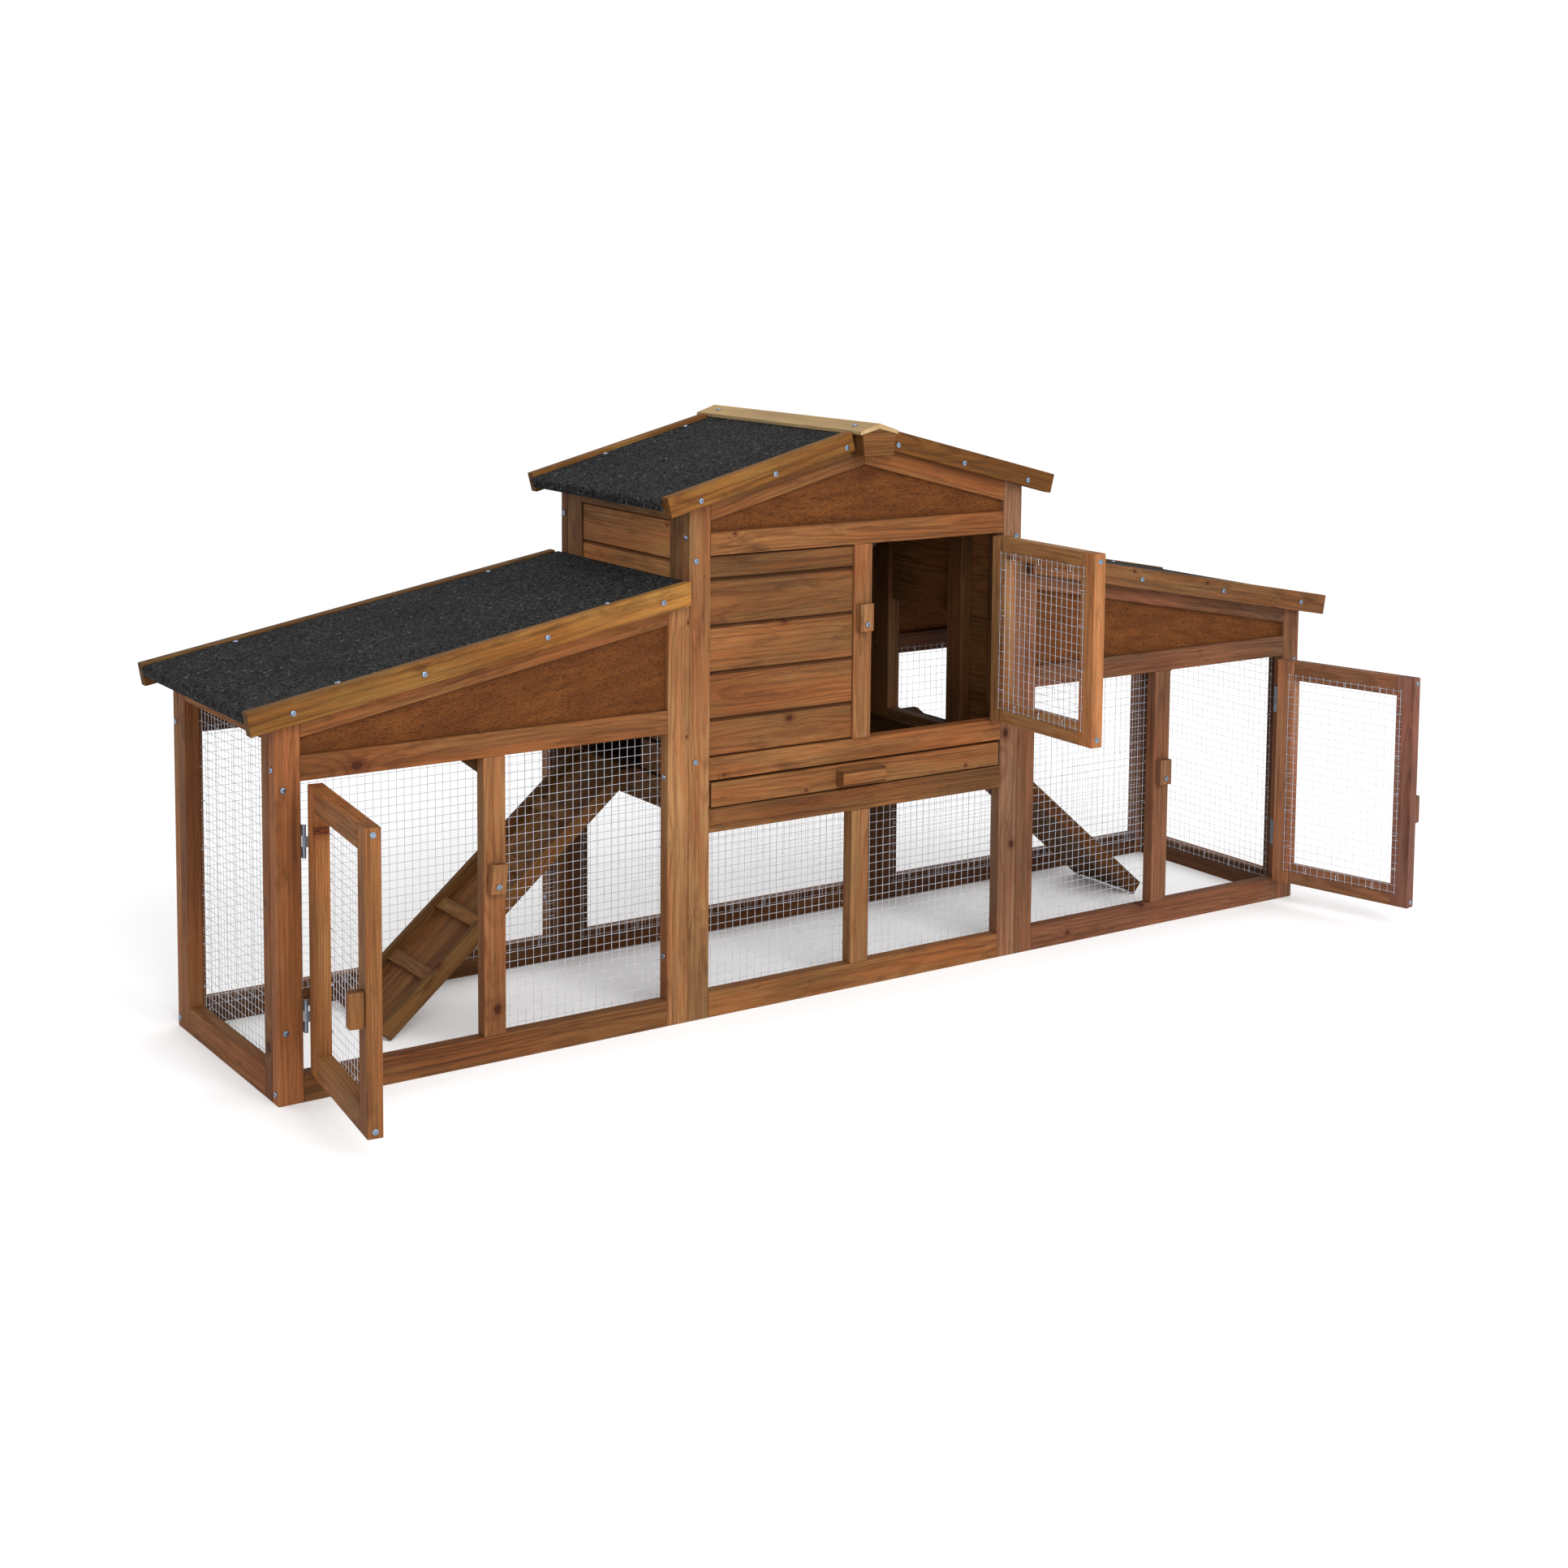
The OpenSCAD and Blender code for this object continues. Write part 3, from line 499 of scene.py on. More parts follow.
def softwood(name, red, olive, late, stain):
    """Stained softwood cut from a log: growth rings round a pith, fibres, knots and an uneven stain."""
    s = Shader(name)
    grain = s.attribute("grain", "Vector")
    own_hue, own_light, painted_cool = s.node("SeparateXYZ", {0: s.attribute("shade", "Vector")}).outputs
    along, across, through = s.node("SeparateXYZ", {0: grain}).outputs
    nearness, heart, rim, swell = knots(s, grain, along, across)
    late_wood = growth_rings(s, grain, across, through, swell)

    # Fibres, dark streaks and the blotches of the stain
    fibre = s.noise(grain, (22, 1100, 1100), 3.0, 0.75)
    streak = s.noise(grain, (3.2, 170, 170), 4.0, 0.65)
    blotch = s.noise(grain, (4, 24, 24), 4.0, 0.65)
    cloud = s.noise(grain, (3.0, 9, 9), 3.0)
    smudge = s.noise(grain, (14, 44, 44), 5.0, 0.65)
    hue = s.math("ADD", s.math("MULTIPLY", own_hue, 0.5), s.fit(blotch, 0.38, 0.62), clamp=True)
    body = s.mix(hue, red, olive)
    body = s.mix(s.math("MULTIPLY", late_wood, 0.6), body, late)
    body = s.cover(body, streak, 0.46, 0.7, 0.6, stain)
    body = s.cover(body, fibre, 0.42, 0.72, 0.55, stain)
    body = s.cover(body, smudge, 0.56, 0.74, 0.65, stain)

    # Knots, the stain that gathers on end grain, and on eased edges and sloped faces partly stain that
    # gathers there and partly painted shade in the joints and grooves between boards
    body = s.mix(s.math("MULTIPLY", rim, 0.6), body, late)
    knot_rings = s.math("FRACT", s.math("MULTIPLY", nearness, 2.6))
    knot_body = s.mix(knot_rings, rgb(78, 36, 17), rgb(36, 16, 9))
    body = s.mix(s.math("MULTIPLY", heart, 0.9), body, knot_body)
    # Darker eased edges and sloped faces: partly gathered stain, partly painted shade in the joints and
    # grooves between boards
    body = s.mix(s.math("MULTIPLY", s.attribute("edge"), 0.7), body, stain)
    body = s.mix(s.math("MULTIPLY", s.attribute("end_grain"), 0.45), body, stain)

    # The board's own brightness, its clouds, and less light indoors
    level = s.math("MULTIPLY", own_light, s.fit(cloud, 0.32, 0.68, 0.72, 1.24))
    level = s.math("MULTIPLY", level, s.fit(s.attribute("indoors"), 0.0, 1.0, 1.0, INDOOR_SHADE))
    # Extra blue where a board is painted with the cooler light of the right side
    blue = s.math("MULTIPLY", level, s.math("ADD", painted_cool, 1.0))
    body = s.stretch(body, s.node("CombineXYZ", {0: level, 1: level, 2: blue}).outputs[0])
    relief = s.math("ADD", s.math("MULTIPLY", fibre, 0.6), s.math("MULTIPLY", late_wood, 0.4))
    s.bump(relief, 0.7, 0.35 * MM)
    return s.finish(body, s.fit(fibre, 0.3, 0.7, 0.6, 0.76), Specular_IOR_Level=0.1)


def plywood(name):
    """Stained rotary-cut plywood: dark pores on a soft, even figure."""
    s = Shader(name)
    grain = s.attribute("grain", "Vector")
    wave = s.noise(grain, (5, 16, 16), 3.0)
    figure = s.noise(grain, (22, 90, 90), 4.0, 0.65)
    pores = s.noise(grain, (160, 620, 620), 3.0, 0.7)
    body = s.mix(s.fit(wave, 0.3, 0.7), rgb(102, 58, 22), rgb(85, 47, 16))
    body = s.cover(body, figure, 0.4, 0.68, 0.7, rgb(68, 34, 11))
    body = s.cover(body, pores, 0.5, 0.66, 0.85, rgb(35, 16, 4))
    s.bump(s.math("SUBTRACT", figure, pores), 0.5, 0.2 * MM)
    return s.finish(body, s.fit(figure, 0.3, 0.7, 0.6, 0.76), Specular_IOR_Level=0.1)


def mineral_felt(name):
    """Bitumen roofing felt faced with crushed slate."""
    s = Shader(name)
    place = s.node("TexCoord").outputs["Object"]
    grit = s.node("TexVoronoi", {"Vector": place, "Scale": 360.0})
    fine = s.noise(place, 620.0, 3.0, 0.7)
    clump = s.noise(place, 230.0, 5.0, 0.8)
    patch = s.noise(place, 9.0, 4.0, 0.6)
    shade = s.node("SeparateColor", {0: grit.outputs["Color"]}).outputs[0]
    body = s.mix(s.fit(clump, 0.42, 0.58), rgb(1, 1, 1), rgb(66, 66, 66))
    body = s.cover(body, shade, 0.5, 1.0, 0.5, rgb(54, 54, 55))
    body = s.cover(body, shade, 0.5, 0.0, 0.9, rgb(3, 3, 3))
    body = s.cover(body, patch, 0.4, 0.7, 0.3, rgb(14, 14, 15))
    flakes = s.math("GREATER_THAN", shade, 0.994)
    body = s.mix(s.math("MULTIPLY", flakes, 0.5), body, rgb(128, 130, 132))
    height = s.math("ADD", s.math("MULTIPLY", grit.outputs["Distance"], -0.6), clump)
    s.bump(height, 0.8, 1.2 * MM)
    return s.finish(body, s.fit(fine, 0.3, 0.7, 0.85, 1.0), Specular_IOR_Level=0.04)


def zinc(name, colour, smoothest, roughest, spangle, metal):
    """Zinc on steel: a cool grey, cloudy at the scale of its spangle."""
    s = Shader(name)
    place = s.node("TexCoord").outputs["Object"]
    cloud = s.noise(place, spangle, 3.0, 0.6)
    fine = s.noise(place, spangle * 9, 2.0)
    dull = tuple(c * 0.6 for c in colour[:3]) + (1.0,)
    body = s.mix(s.fit(cloud, 0.35, 0.7), colour, dull)
    s.bump(fine, 0.15, 0.05 * MM)
    return s.finish(body, s.fit(cloud, 0.3, 0.7, smoothest, roughest), Metallic=metal)


STAINED = softwood("stained_softwood", rgb(128, 76, 40), rgb(122, 84, 48), rgb(80, 42, 19), rgb(52, 28, 13))
PALE = softwood("pale_softwood", rgb(140, 85, 49), rgb(138, 101, 64), rgb(96, 56, 30), rgb(68, 39, 21))
GOLDEN = softwood("golden_softwood", rgb(124, 77, 32), rgb(128, 93, 45), rgb(74, 41, 14), rgb(46, 27, 9))
BARE = softwood("bare_softwood", rgb(132, 112, 78), rgb(140, 122, 88), rgb(106, 86, 56), rgb(88, 70, 46))
# A bluer copy of the stain for the right run: painted cooler light on that side
COOL_LIT = softwood("cool_lit_softwood", rgb(130, 80, 54), rgb(122, 86, 60), rgb(86, 50, 32), rgb(58, 35, 23))
DARK = softwood("dark_softwood", rgb(96, 56, 25), rgb(101, 70, 37), rgb(63, 33, 14), rgb(45, 24, 10))
PLY = plywood("stained_plywood")
FELT = mineral_felt("mineral_felt")
WIRE = zinc("galvanised_wire", (0.58, 0.59, 0.65, 1), 0.35, 0.55, 60.0, 0.35)
HINGE_ZINC = zinc("hinge_zinc", (0.26, 0.30, 0.37, 1), 0.35, 0.55, 160.0, 0.85)
ZINC = zinc("zinc_plate", (0.25, 0.32, 0.42, 1), 0.2, 0.4, 240.0, 0.95)


# ------------------------------------------------------------------ stage

def towards(azimuth, elevation):
    """The direction of a viewer at an azimuth and an elevation in degrees."""
    a, e = math.radians(azimuth), math.radians(elevation)
    return Vector((math.sin(a) * math.cos(e), -math.cos(a) * math.cos(e), math.sin(e)))


def add_camera():
    """Stands the camera where the photograph was taken from."""
    back = towards(CAMERA_AZIMUTH, CAMERA_ELEVATION)
    roll = math.radians(CAMERA_ROLL)
    level = (-back).cross(Z).normalized()
    right = (level * math.cos(roll) + level.cross(-back) * math.sin(roll)).normalized()
    turn = Matrix((right, back.cross(right), back)).transposed().to_4x4()
    data = bpy.data.cameras.new("camera")
    data.lens = CAMERA_FOCAL * data.sensor_width
    data.shift_y = CAMERA_SHIFT
    camera = bpy.data.objects.new("camera", data)
    camera.matrix_world = Matrix.Translation(CAMERA_AT) @ turn
    bpy.context.scene.collection.objects.link(camera)
    bpy.context.scene.camera = camera


def softbox(name, azimuth, elevation, distance, size, watts, colour):
    """A large area light that faces the middle of the hutch."""
    back = towards(azimuth, elevation)
    data = bpy.data.lights.new(name, "AREA")
    data.size = size
    data.energy = watts
    data.color = colour
    light = bpy.data.objects.new(name, data)
    light.location = (cad_box[0] + cad_box[1]) / 2 + back * distance
    light.rotation_euler = back.to_track_quat("Z", "Y").to_euler()
    bpy.context.scene.collection.objects.link(light)


def add_stage():
    """A pale studio floor, an even white surround and two soft lights."""
    bm = bmesh.new()
    bmesh.ops.create_grid(bm, x_segments=12, y_segments=12, size=FLOOR_REACH)
    bmesh.ops.translate(bm, verts=bm.verts, vec=Z * cad_box[0].z)
    white = (FLOOR_WHITE, FLOOR_WHITE, FLOOR_WHITE, 1)
    floor = new_piece("floor", bm, Shader("studio_floor").finish(white, 0.8, Specular_IOR_Level=0.05))
    world = bpy.data.worlds.new("studio")
    world.use_nodes = True
    surround = world.node_tree.nodes["Background"]
    surround.inputs["Color"].default_value = (1, 1, 1, 1)
    surround.inputs["Strength"].default_value = SURROUND
    bpy.context.scene.world = world
    softbox("key_light", azimuth=-12, elevation=30, distance=4.2, size=2.6, watts=130, colour=(1, 1, 1))
    softbox("fill_light", azimuth=50, elevation=32, distance=4.6, size=3.0, watts=35, colour=(0.9, 0.95, 1))
    bpy.context.scene.view_settings.view_transform = "Standard"


add_camera()
add_stage()


# ------------------------------------------------------------------ timber

# Each stain with its record slot, and each of its nodes with a hue and a brightness
TIMBER = (
    (STAINED, "timber", {
        "left_run_rails": (0.0, 0.98), "left_run_roof_board": (-0.3, 0.8),
        "right_run_roof_board": (-0.3, 0.8),
        "left_door_stiles": (0.2, 1.3), "left_door_rails": (0.2, 1.3), "left_door_handle": (0.4, 1.2),
        "tower_front_rails": (0.0, 1.08), "tower_back_posts": (-0.1, 0.85), "tower_back_rails": (-0.1, 0.85),
        "front_cladding": (0.1, 0.98), "back_cladding": (0.1, 0.85), "side_cladding": (0.5, 1.55),
        "tower_roof_boards": (-0.3, 0.8), "tray_front": (0.1, 1.15), "tray_handle": (0.0, 1.15),
    }),
    (PALE, "timber", {
        "left_run_posts": (0.1, 0.92), "tower_front_posts": (0.2, 0.94), "tower_side_frames": (0.3, 0.95),
        "upper_door_stiles": (0.4, 1.15), "upper_door_rails": (0.4, 1.15),
        "left_turn_button": (0.4, 1.05), "upper_turn_button": (0.6, 1.05),
    }),
    (GOLDEN, "light_timber", {"run_barges": (0.0, 0.75), "tower_barges": (-0.2, 0.85)}),
    # The right run in the bluer copy: painted cooler light
    (COOL_LIT, "timber", {
        "right_run_posts": (0.0, 0.95), "right_run_rails": (0.0, 0.88), "right_door_stiles": (0.0, 1.1),
        "right_door_rails": (0.0, 1.05), "right_door_handle": (0.0, 1.1), "right_turn_button": (0.3, 1.1),
    }),
    (BARE, "light_timber", {"ridge_cap": (0.5, 2.2)}),
    (DARK, "dark_timber", {
        "left_ramp_sides": (0.3, 1.4), "left_ramp_planks": (0.3, 1.6), "right_ramp_sides": (0.0, 0.8),
        "right_ramp_planks": (0.0, 0.8), "ramp_cleats": (0.3, 1.65), "ridge_end_blocks": (0.1, 1.2),
        "tray_pan": (0.0, 0.9), "tray_runners": (0.0, 0.9), "corner_gussets": (0.0, 1.0),
    }),
)

# Boards that stand out, by number from left to right, front to back and bottom to top: hue, brightness,
# and where needed how much bluer it is painted for the cooler light on the right side, and how much brighter
# the far end is
SINGLE_BOARDS = {
    "left_run_posts": {0: (-0.9, 1.06), 1: (-0.8, 0.68), 2: (-0.9, 0.74), 4: (0.2, 0.85), 5: (0.4, 1.06)},
    "left_run_rails": {2: (0.0, 0.84), 3: (-0.5, 1.02, 0.0, 0.2)},
    # The left ramp's front side darkens towards its top: painted shade, as light reaches only its lower part
    "left_ramp_sides": {0: (0.3, 1.0, 0.0, -0.45)},
    "left_door_stiles": {0: (0.2, 1.22), 1: (0.1, 1.6)},
    "right_run_posts": {0: (0.0, 0.9), 2: (0.0, 0.9), 3: (0.1, 1.15)},
    "right_run_rails": {1: (0.2, 0.82)},
    "right_door_stiles": {0: (0.0, 1.65), 1: (0.2, 0.95, 0.4)},
    "tower_front_posts": {0: (0.2, 0.9), 1: (0.4, 0.96), 2: (-0.3, 0.98), 3: (0.9, 0.87, 0.35)},
    "tower_front_rails": {1: (0.2, 0.86), 3: (-0.4, 1.0)},
    "front_cladding": {0: (0.0, 0.9), 1: (-0.3, 0.93), 2: (0.4, 1.02), 3: (0.1, 0.84), 4: (0.8, 0.74)},
    "side_cladding": {3: (0.8, 1.95), 4: (0.8, 2.05), 5: (0.7, 1.95)},
    "run_barges": {0: (-0.2, 1.1, 0.0, 0.36), 2: (-0.2, 0.76, 0.6)},
    "tower_barges": {0: (-0.7, 1.0), 2: (-1.0, 0.74)},
}


def edge_round(node):
    """How far the edges of a timber node's boards are eased."""
    if "cladding" in node:
        return CLADDING_ROUND
    return HANDLE_ROUND if "handle" in node else EDGE_ROUND


for material, slot, nodes in TIMBER:
    for node, (hue, light) in nodes.items():
        boards(node, material, hue, light, edge_round(node))
for node in ("left_run_wedge_panels", "right_run_wedge_panels", "gable_panels"):
    boards(node, PLY, round_edge=PLY_ROUND)


# ------------------------------------------------------------------ felt

def felt_outline(length, thick):
    """The sheet's outer face from the ridge over the eave: points down the slope and off the board."""
    top = thick + FELT_T
    end = length + FELT_T
    outline = [(FELT_GAP, top)] + [(length * i / FELT_STEPS, top) for i in range(1, FELT_STEPS)]
    for i in range(BEND_STEPS + 1):
        turn = math.radians(90 * i / BEND_STEPS)
        off, rise = FELT_BEND * math.sin(turn), FELT_BEND * math.cos(turn)
        outline.append((end - FELT_BEND + off, top - FELT_BEND + rise))
    return outline + [(end, rise) for rise in (2 * MM, 0.0, -FELT_LAP)]


def outline_normals(outline):
    """The outward direction at each point of an outline."""
    normals = []
    for i in range(len(outline)):
        before = Vector(outline[max(i - 1, 0)])
        after = Vector(outline[min(i + 1, len(outline) - 1)])
        run = (after - before).normalized()
        normals.append(Vector((-run.y, run.x)))
    return normals


def ripple(slope, y, width, phases):
    """How far the felt stands off its board at a place, in millimetres."""
    along = 0.35 * math.sin(9 * y / width + phases[0] + 5 * slope)
    down = 0.3 * math.sin(23 * slope + phases[1] + 7 * y)
    patch = 0.25 * math.sin(41 * slope + phases[2]) * math.sin(17 * y + phases[3])
    return max(along + down + patch, -FELT_DIP)


def roof_sheet(bm, board, rng):
    """Lays a sheet of felt on a roof board, given by its corners, and wraps it over the eave."""
    ends = sorted(board, key=lambda corner: -corner.z)
    upper, lower = ends[:4], ends[4:]
    head = sum(upper, Vector()) / 4
    foot = sum(lower, Vector()) / 4
    down = foot - head
    down.y = 0
    length = down.length
    down.normalize()
    up = Y.cross(down) if Y.cross(down).z > 0 else down.cross(Y)
    thick = max(corner.dot(up) for corner in upper) - min(corner.dot(up) for corner in upper)
    y0, y1 = min(corner.y for corner in board), max(corner.y for corner in board)
    origin = head - up * (thick / 2)
    origin.y = 0

    outline = felt_outline(length, thick)
    normals = outline_normals(outline)
    phases = [rng.uniform(0, 6.28) for _ in range(6)]

    def row(k, is_top):
        """The points across the sheet at one point of its outline, on its face or on its underside."""
        slope = outline[k][0]
        made = []
        for j in range(FELT_COLUMNS + 1):
            y = y0 + (y1 - y0) * j / FELT_COLUMNS
            lift = 0 if is_top else -FELT_T
            if is_top and 0 < k < FELT_STEPS - 1:
                lift = ripple(slope, y, y1 - y0, phases) * MM
            at = Vector(outline[k]) + normals[k] * lift
            made.append(bm.verts.new(origin + down * at.x + up * at.y + Y * y))
        return made

    top = [row(k, True) for k in range(len(outline))]
    under = [row(k, False) for k in range(len(outline))]
    for grid, order in ((top, 1), (under, -1)):
        for a, b in zip(grid, grid[1:]):
            for j in range(FELT_COLUMNS):
                bm.faces.new([a[j], b[j], b[j + 1], a[j + 1]][::order])
    for a, b in ((top[0], under[0]), (under[-1], top[-1])):
        for j in range(FELT_COLUMNS):
            bm.faces.new([a[j], a[j + 1], b[j + 1], b[j]])
    for j, order in ((0, 1), (FELT_COLUMNS, -1)):
        for k in range(len(outline) - 1):
            bm.faces.new([top[k][j], under[k][j], under[k + 1][j], top[k + 1][j]][::order])


def felt_roof(node, board_node):
    """Replaces a felt node by sheets laid on its roof boards."""
    rng = random.Random(node)
    source = clean_copy(board_node)
    bm = bmesh.new()
    for verts in islands(source):
        roof_sheet(bm, [v.co.copy() for v in verts], rng)
    source.free()
    bmesh.ops.recalc_face_normals(bm, faces=bm.faces)
    piece = new_piece(node + "_sheet", bm, FELT, smooth_below=50)
    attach(piece, frame["nodes"][node]["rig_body"])
    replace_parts(piece, node)


felt_roof("left_run_roof_felt", "left_run_roof_board")
felt_roof("right_run_roof_felt", "right_run_roof_board")
felt_roof("tower_roof_felts", "tower_roof_boards")


# ------------------------------------------------------------------ wire mesh

def wires(bm, low, length, way, spread, rng):
    """Parallel wires of a length along way, set out along spread from low."""
    count = round(spread.length / WIRE_PITCH)
    parts = max(2, round(length / STRAY_SPACING))
    stray = spread.normalized() * WIRE_STRAY
    for i in range(count + 1):
        foot = low + spread * (i / count)
        start = foot - way * WIRE_STUB * rng.uniform(*STUB_RANGE)
        end = foot + way * (length + WIRE_STUB * rng.uniform(*STUB_RANGE))
        points = [start.lerp(end, k / parts) + stray * rng.uniform(-1, 1) for k in range(parts + 1)]
        tube(bm, points, WIRE_R)


def panel_axes(low, high, inward):
    """A thin upright box's thin axis by number, and unit vectors inward through it and across it."""
    size = high - low
    thin = min(range(3), key=lambda i: size[i])
    through, across = Vector(), Vector()
    through[thin] = inward
    across[1 - thin] = 1
    return thin, through, across


def welded_panel(bm, low, high, inward, rng):
    """A welded sheet in the thin box from low to high; its upright wires are on the inward side."""
    thin, through, across = panel_axes(low, high, inward)
    corner = low + across * WIRE_STUB + Z * WIRE_STUB
    corner[thin] = (low[thin] + high[thin]) / 2
    width = (high - low).dot(across) - 2 * WIRE_STUB
    height = (high - low).z - 2 * WIRE_STUB
    wires(bm, corner + through * WIRE_LAYER, height, Z, across * width, rng)
    wires(bm, corner - through * WIRE_LAYER, width, across, Z * height, rng)


def staple(bm, at, way, through, rng):
    """A staple at a point of a panel, set askew along way: its crown, and two legs into the timber."""
    way = way + Vector([rng.uniform(-STAPLE_SKEW, STAPLE_SKEW) for _ in range(3)]) * SKEW_SHARE
    way = (way - through * way.dot(through)).normalized()
    ends = [at - way * STAPLE_CROWN / 2, at + way * STAPLE_CROWN / 2]
    tube(bm, [end + through * CROWN_RISE for end in ends], STAPLE_R)
    for end in ends:
        tube(bm, [end + through * LEG_RISE, end - through * LEG_DEPTH], STAPLE_R)


def staples(bm, low, high, inward, rng):
    """Rows of staples along the four edges of a panel, over the wires on its inward side."""
    thin, through, across = panel_axes(low, high, inward)
    width = (high - low).dot(across) - 2 * STAPLE_EDGE
    height = (high - low).z - 2 * STAPLE_EDGE
    corner = low + across * STAPLE_EDGE + Z * STAPLE_EDGE
    corner[thin] = (high if inward > 0 else low)[thin]
    right, top = corner + across * width, corner + Z * height
    far = right + Z * height
    for start, end, way in ((corner, right, Z), (top, far, Z), (corner, top, across), (right, far, across)):
        count = max(1, round((end - start).length / STAPLE_SPACING))
        for i in range(count):
            share = (i + 0.5 + rng.uniform(-STAPLE_JITTER, STAPLE_JITTER)) / count
            staple(bm, start.lerp(end, share), way, through, rng)


def hinge_of(body):
    """The joint that carries a body."""
    return next(joint for joint in frame["joints"] if joint["child"] == body)


def closed_door(body):
    """The turn that closes a door from where it stands at rest."""
    hinge = hinge_of(body)
    turn = Matrix.Rotation(math.radians(hinge["range_deg"][0]), 4, Vector(hinge["axis"]))
    place = Vector(hinge["pos_m"])
    return Matrix.Translation(place) @ turn @ Matrix.Translation(-place)


def mesh_panels(node):
    """Replaces a mesh node by welded sheets of round wire, stapled to the frame they lap."""
    rng = random.Random(node)
    body = frame["nodes"][node]["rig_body"]
    close = closed_door(body) if body != "frame" else Matrix.Identity(4)
    source = clean_copy(node)
    centre = (cad_box[0] + cad_box[1]) / 2
    sheets, pins = bmesh.new(), bmesh.new()
    for verts in islands(source):
        low, high = span([close @ v.co for v in verts])
        thin = min(range(3), key=lambda i: (high - low)[i])
        inward = 1 if centre[thin] > (low + high)[thin] / 2 else -1
        welded_panel(sheets, low, high, inward, rng)
        staples(pins, low, high, inward, rng)
    source.free()
    for bm, kind in ((sheets, "_wires"), (pins, "_staples")):
        bmesh.ops.transform(bm, matrix=close.inverted(), verts=bm.verts)
        piece = new_piece(node + kind, bm, WIRE, smooth_below=65)
        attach(piece, body)
        if kind == "_wires":
            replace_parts(piece, node)


for place in ("left_run", "right_run", "tower", "left_door", "right_door", "upper_door"):
    mesh_panels(place + "_mesh")


# ------------------------------------------------------------------ fixings

def screw_mesh(head_r, head_h):
    """A pan head with a cross recess, standing on the origin along Z."""
    bm = bmesh.new()
    arm, slot_half, depth = head_r * 0.52, head_r * 0.13, head_h * 0.55

    def dome(r):
        """The height of the head at a radius."""
        return head_h * (1 - 0.42 * (r / head_r) ** 3)

    def ring(r, z):
        """A level ring of vertices."""
        turns = [2 * math.pi * i / HEAD_SIDES for i in range(HEAD_SIDES)]
        return [bm.verts.new((r * math.cos(turn), r * math.sin(turn), z)) for turn in turns]

    rings = [ring(head_r * 0.97, 0), ring(head_r, 0.25 * MM), ring(head_r, head_h * 0.42),
             ring(head_r * 0.93, head_h * 0.72), ring(head_r * 0.8, dome(head_r * 0.8))]
    join_rings(bm, rings)
    cross = []
    for quarter in range(4):
        turn = Matrix.Rotation(math.radians(90 * quarter), 3, "Z")
        for x, y in ((slot_half, slot_half), (slot_half, arm), (-slot_half, arm)):
            cross.append(turn @ Vector((x, y, 0)))
    mouth = [bm.verts.new((p.x, p.y, dome(p.length))) for p in cross]
    floor = [bm.verts.new((p.x * 0.8, p.y * 0.8, dome(0) - depth)) for p in cross]
    for i in range(len(cross)):
        j = (i + 1) % len(cross)
        bm.faces.new([mouth[i], floor[i], floor[j], mouth[j]])
    bm.faces.new(floor)
    rims = [bm.edges.get((loop[i - 1], loop[i])) for loop in (rings[-1], mouth) for i in range(len(loop))]
    bmesh.ops.triangle_fill(bm, edges=rims, use_beauty=True, normal=Z)
    bmesh.ops.recalc_face_normals(bm, faces=bm.faces)
    mesh = bpy.data.meshes.new("screw_head")
    bm.to_mesh(mesh)
    bm.free()
    return mesh


def stand(bm, mesh, at, way, turn):
    """Adds a copy of mesh at a point, standing along way and turned about it."""
    before = len(bm.verts)
    bm.from_mesh(mesh)
    bm.verts.ensure_lookup_table()
    upright = way.to_track_quat("Z", "X").to_matrix().to_4x4()
    place = Matrix.Translation(at) @ upright @ Matrix.Rotation(turn, 4, "Z")
    bmesh.ops.transform(bm, matrix=place, verts=bm.verts[before:])


def fixings(name, places, body, head_r=HEAD_R, head_h=HEAD_H, shank_r=SHANK_R, material=ZINC):
    """Screws given as (point on the surface, outward direction, shank length)."""
    rng = random.Random(name)
    mesh = screw_mesh(head_r, head_h)
    bm = bmesh.new()
    for at, way, length in places:
        stand(bm, mesh, at, way, rng.uniform(0, math.pi))
        tube(bm, [at + way * SHANK_RISE, at - way * length], shank_r, SHANK_SIDES)
    piece = new_piece(name, bm, material, smooth_below=35)
    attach(piece, body)
    return piece


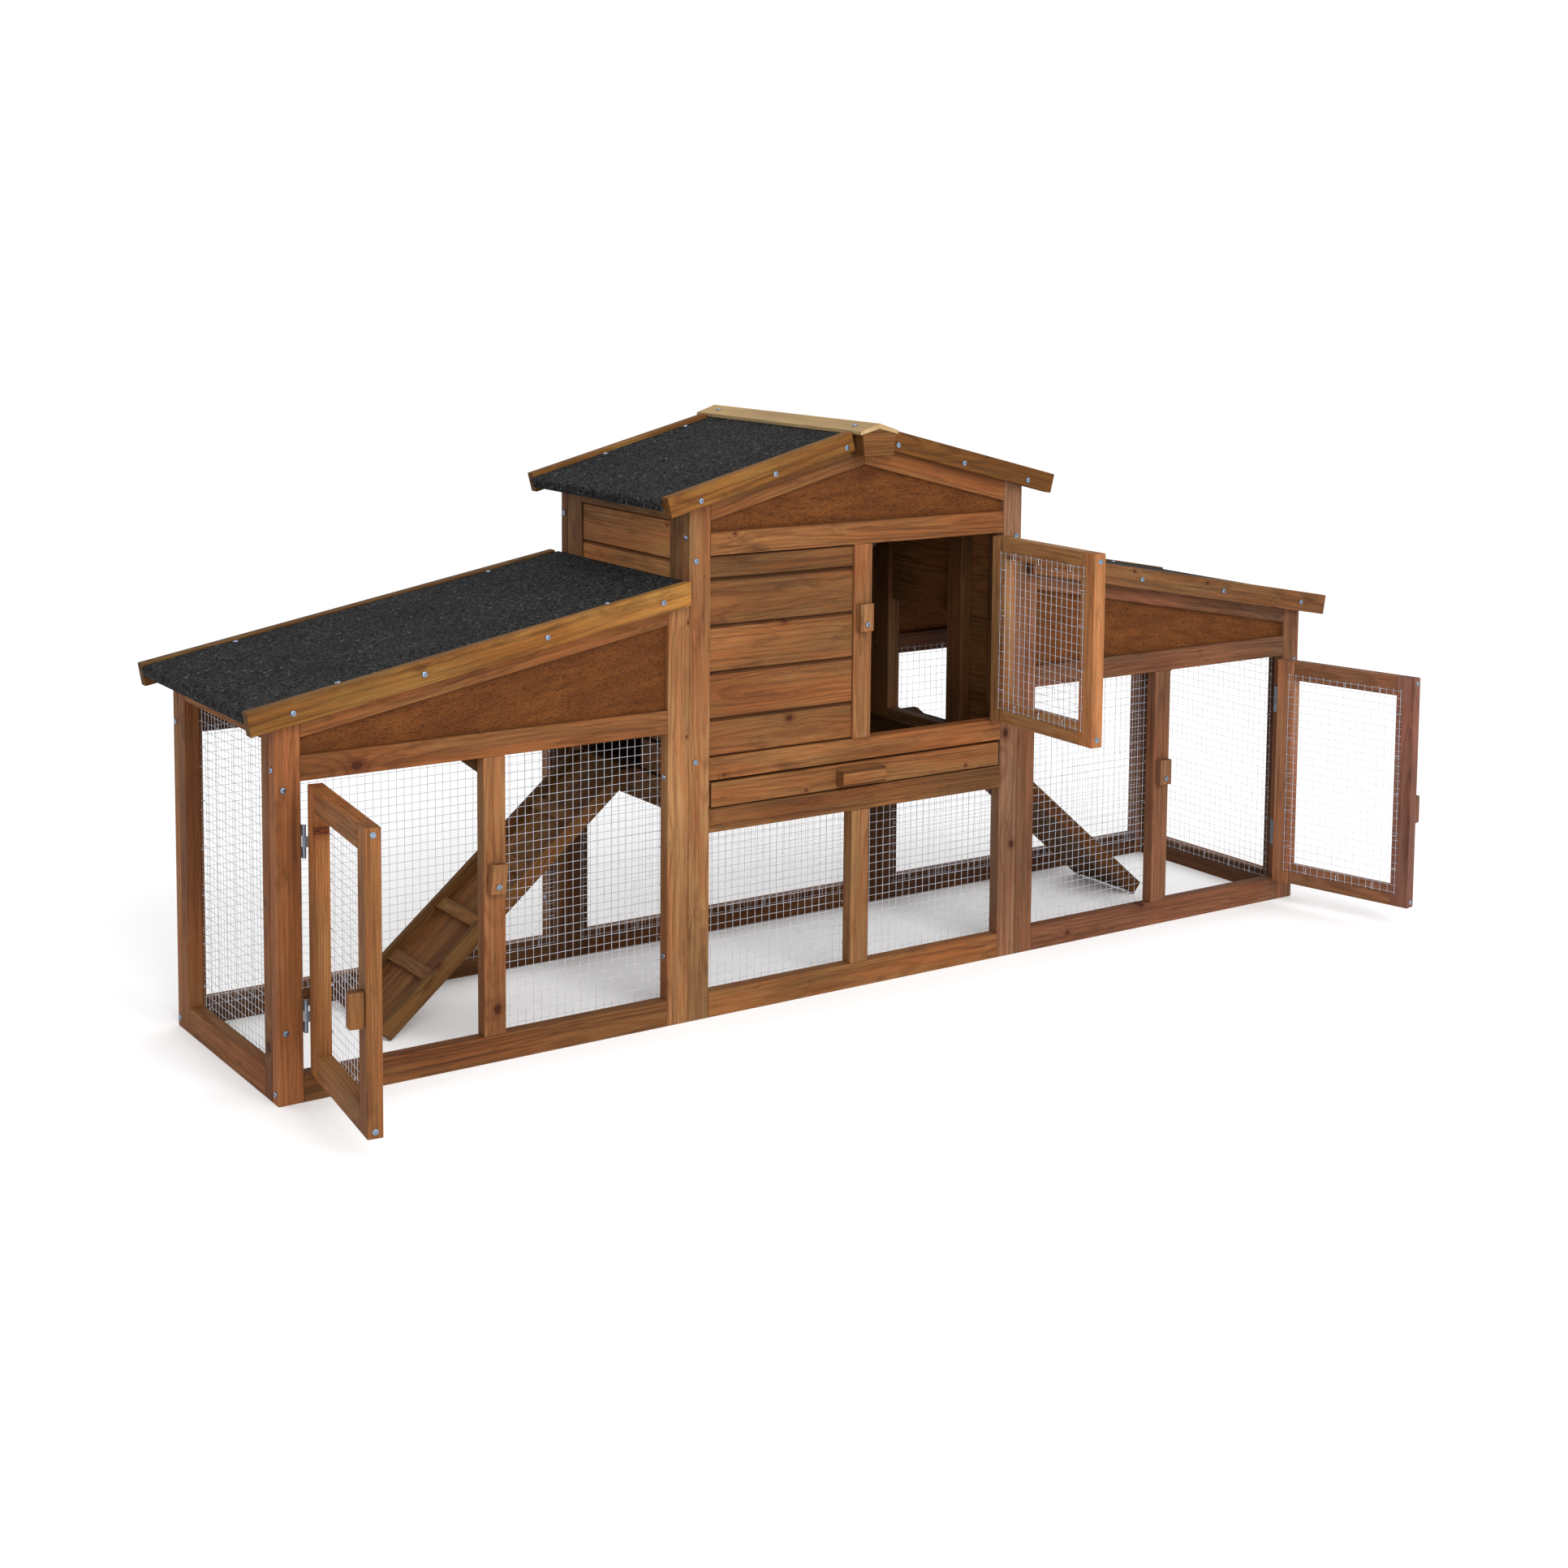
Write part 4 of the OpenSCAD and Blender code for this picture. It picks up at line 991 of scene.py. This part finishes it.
def screw_places(node):
    """For each screw of a CAD node: its head's seat, its outward direction and its shank's length."""
    source = clean_copy(node)
    places = []
    for verts in islands(source):
        top = max(faces_of(verts), key=lambda f: f.calc_area())
        way = top.normal.copy()
        seat = top.calc_center_median() - way * CAD_HEAD_H
        length = max((seat - v.co).dot(way) for v in verts)
        places.append((seat, way, length))
    source.free()
    return places


def door_screws(door, inset):
    """Screws into the free edge of a door, where its rails meet the stile, at an inset from its ends."""
    close = closed_door(door)
    back = close.inverted()
    low, high = span([close @ v.co for v in frame["nodes"][door + "_stiles"].data.vertices])
    hinge_x = hinge_of(door)["pos_m"][0]
    free = max((low.x, high.x), key=lambda x: abs(x - hinge_x))
    out = (back.to_3x3() @ Vector((math.copysign(1, free - hinge_x), 0, 0))).normalized()
    middle_y = (low.y + high.y) / 2
    places = [(back @ Vector((free, middle_y, z)), out, EDGE_SHANK) for z in (low.z + inset, high.z - inset)]
    fixings(door + "_edge_screws", places, door, head_h=EDGE_HEAD_H)


def leaf_screw_places(node):
    """Two screws in the open side of each hinge leaf, which is the second largest of its flat faces."""
    source = clean_copy(node)
    places = []
    for verts in islands(source):
        faces = sorted(faces_of(verts), key=lambda f: (-round(f.calc_area(), 7), -f.normal.z))
        middle, way = faces[1].calc_center_median(), faces[1].normal.copy()
        places += [(middle + Z * side * LEAF_SCREW_RISE, way, LEAF_SHANK) for side in (-1, 1)]
    source.free()
    return places


for node in ("screws", "pivot_screws"):
    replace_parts(fixings(node + "_heads", screw_places(node), "frame"), node)

door_screws("left_door", RUN_DOOR_INSET)
door_screws("right_door", RUN_DOOR_INSET)
door_screws("upper_door", NEST_DOOR_INSET)

HINGE_LEAVES = [place + "_hinge_leaves" for place in ("frame", "left_door", "right_door", "upper_door")]
for node in HINGE_LEAVES:
    fixings(node + "_screws", leaf_screw_places(node), frame["nodes"][node]["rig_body"],
            LEAF_HEAD_R, LEAF_HEAD_H, LEAF_SHANK, HINGE_ZINC)
for node in HINGE_LEAVES + ["hinge_pins"]:
    for node_slot in frame["nodes"][node].material_slots:
        node_slot.material = HINGE_ZINC
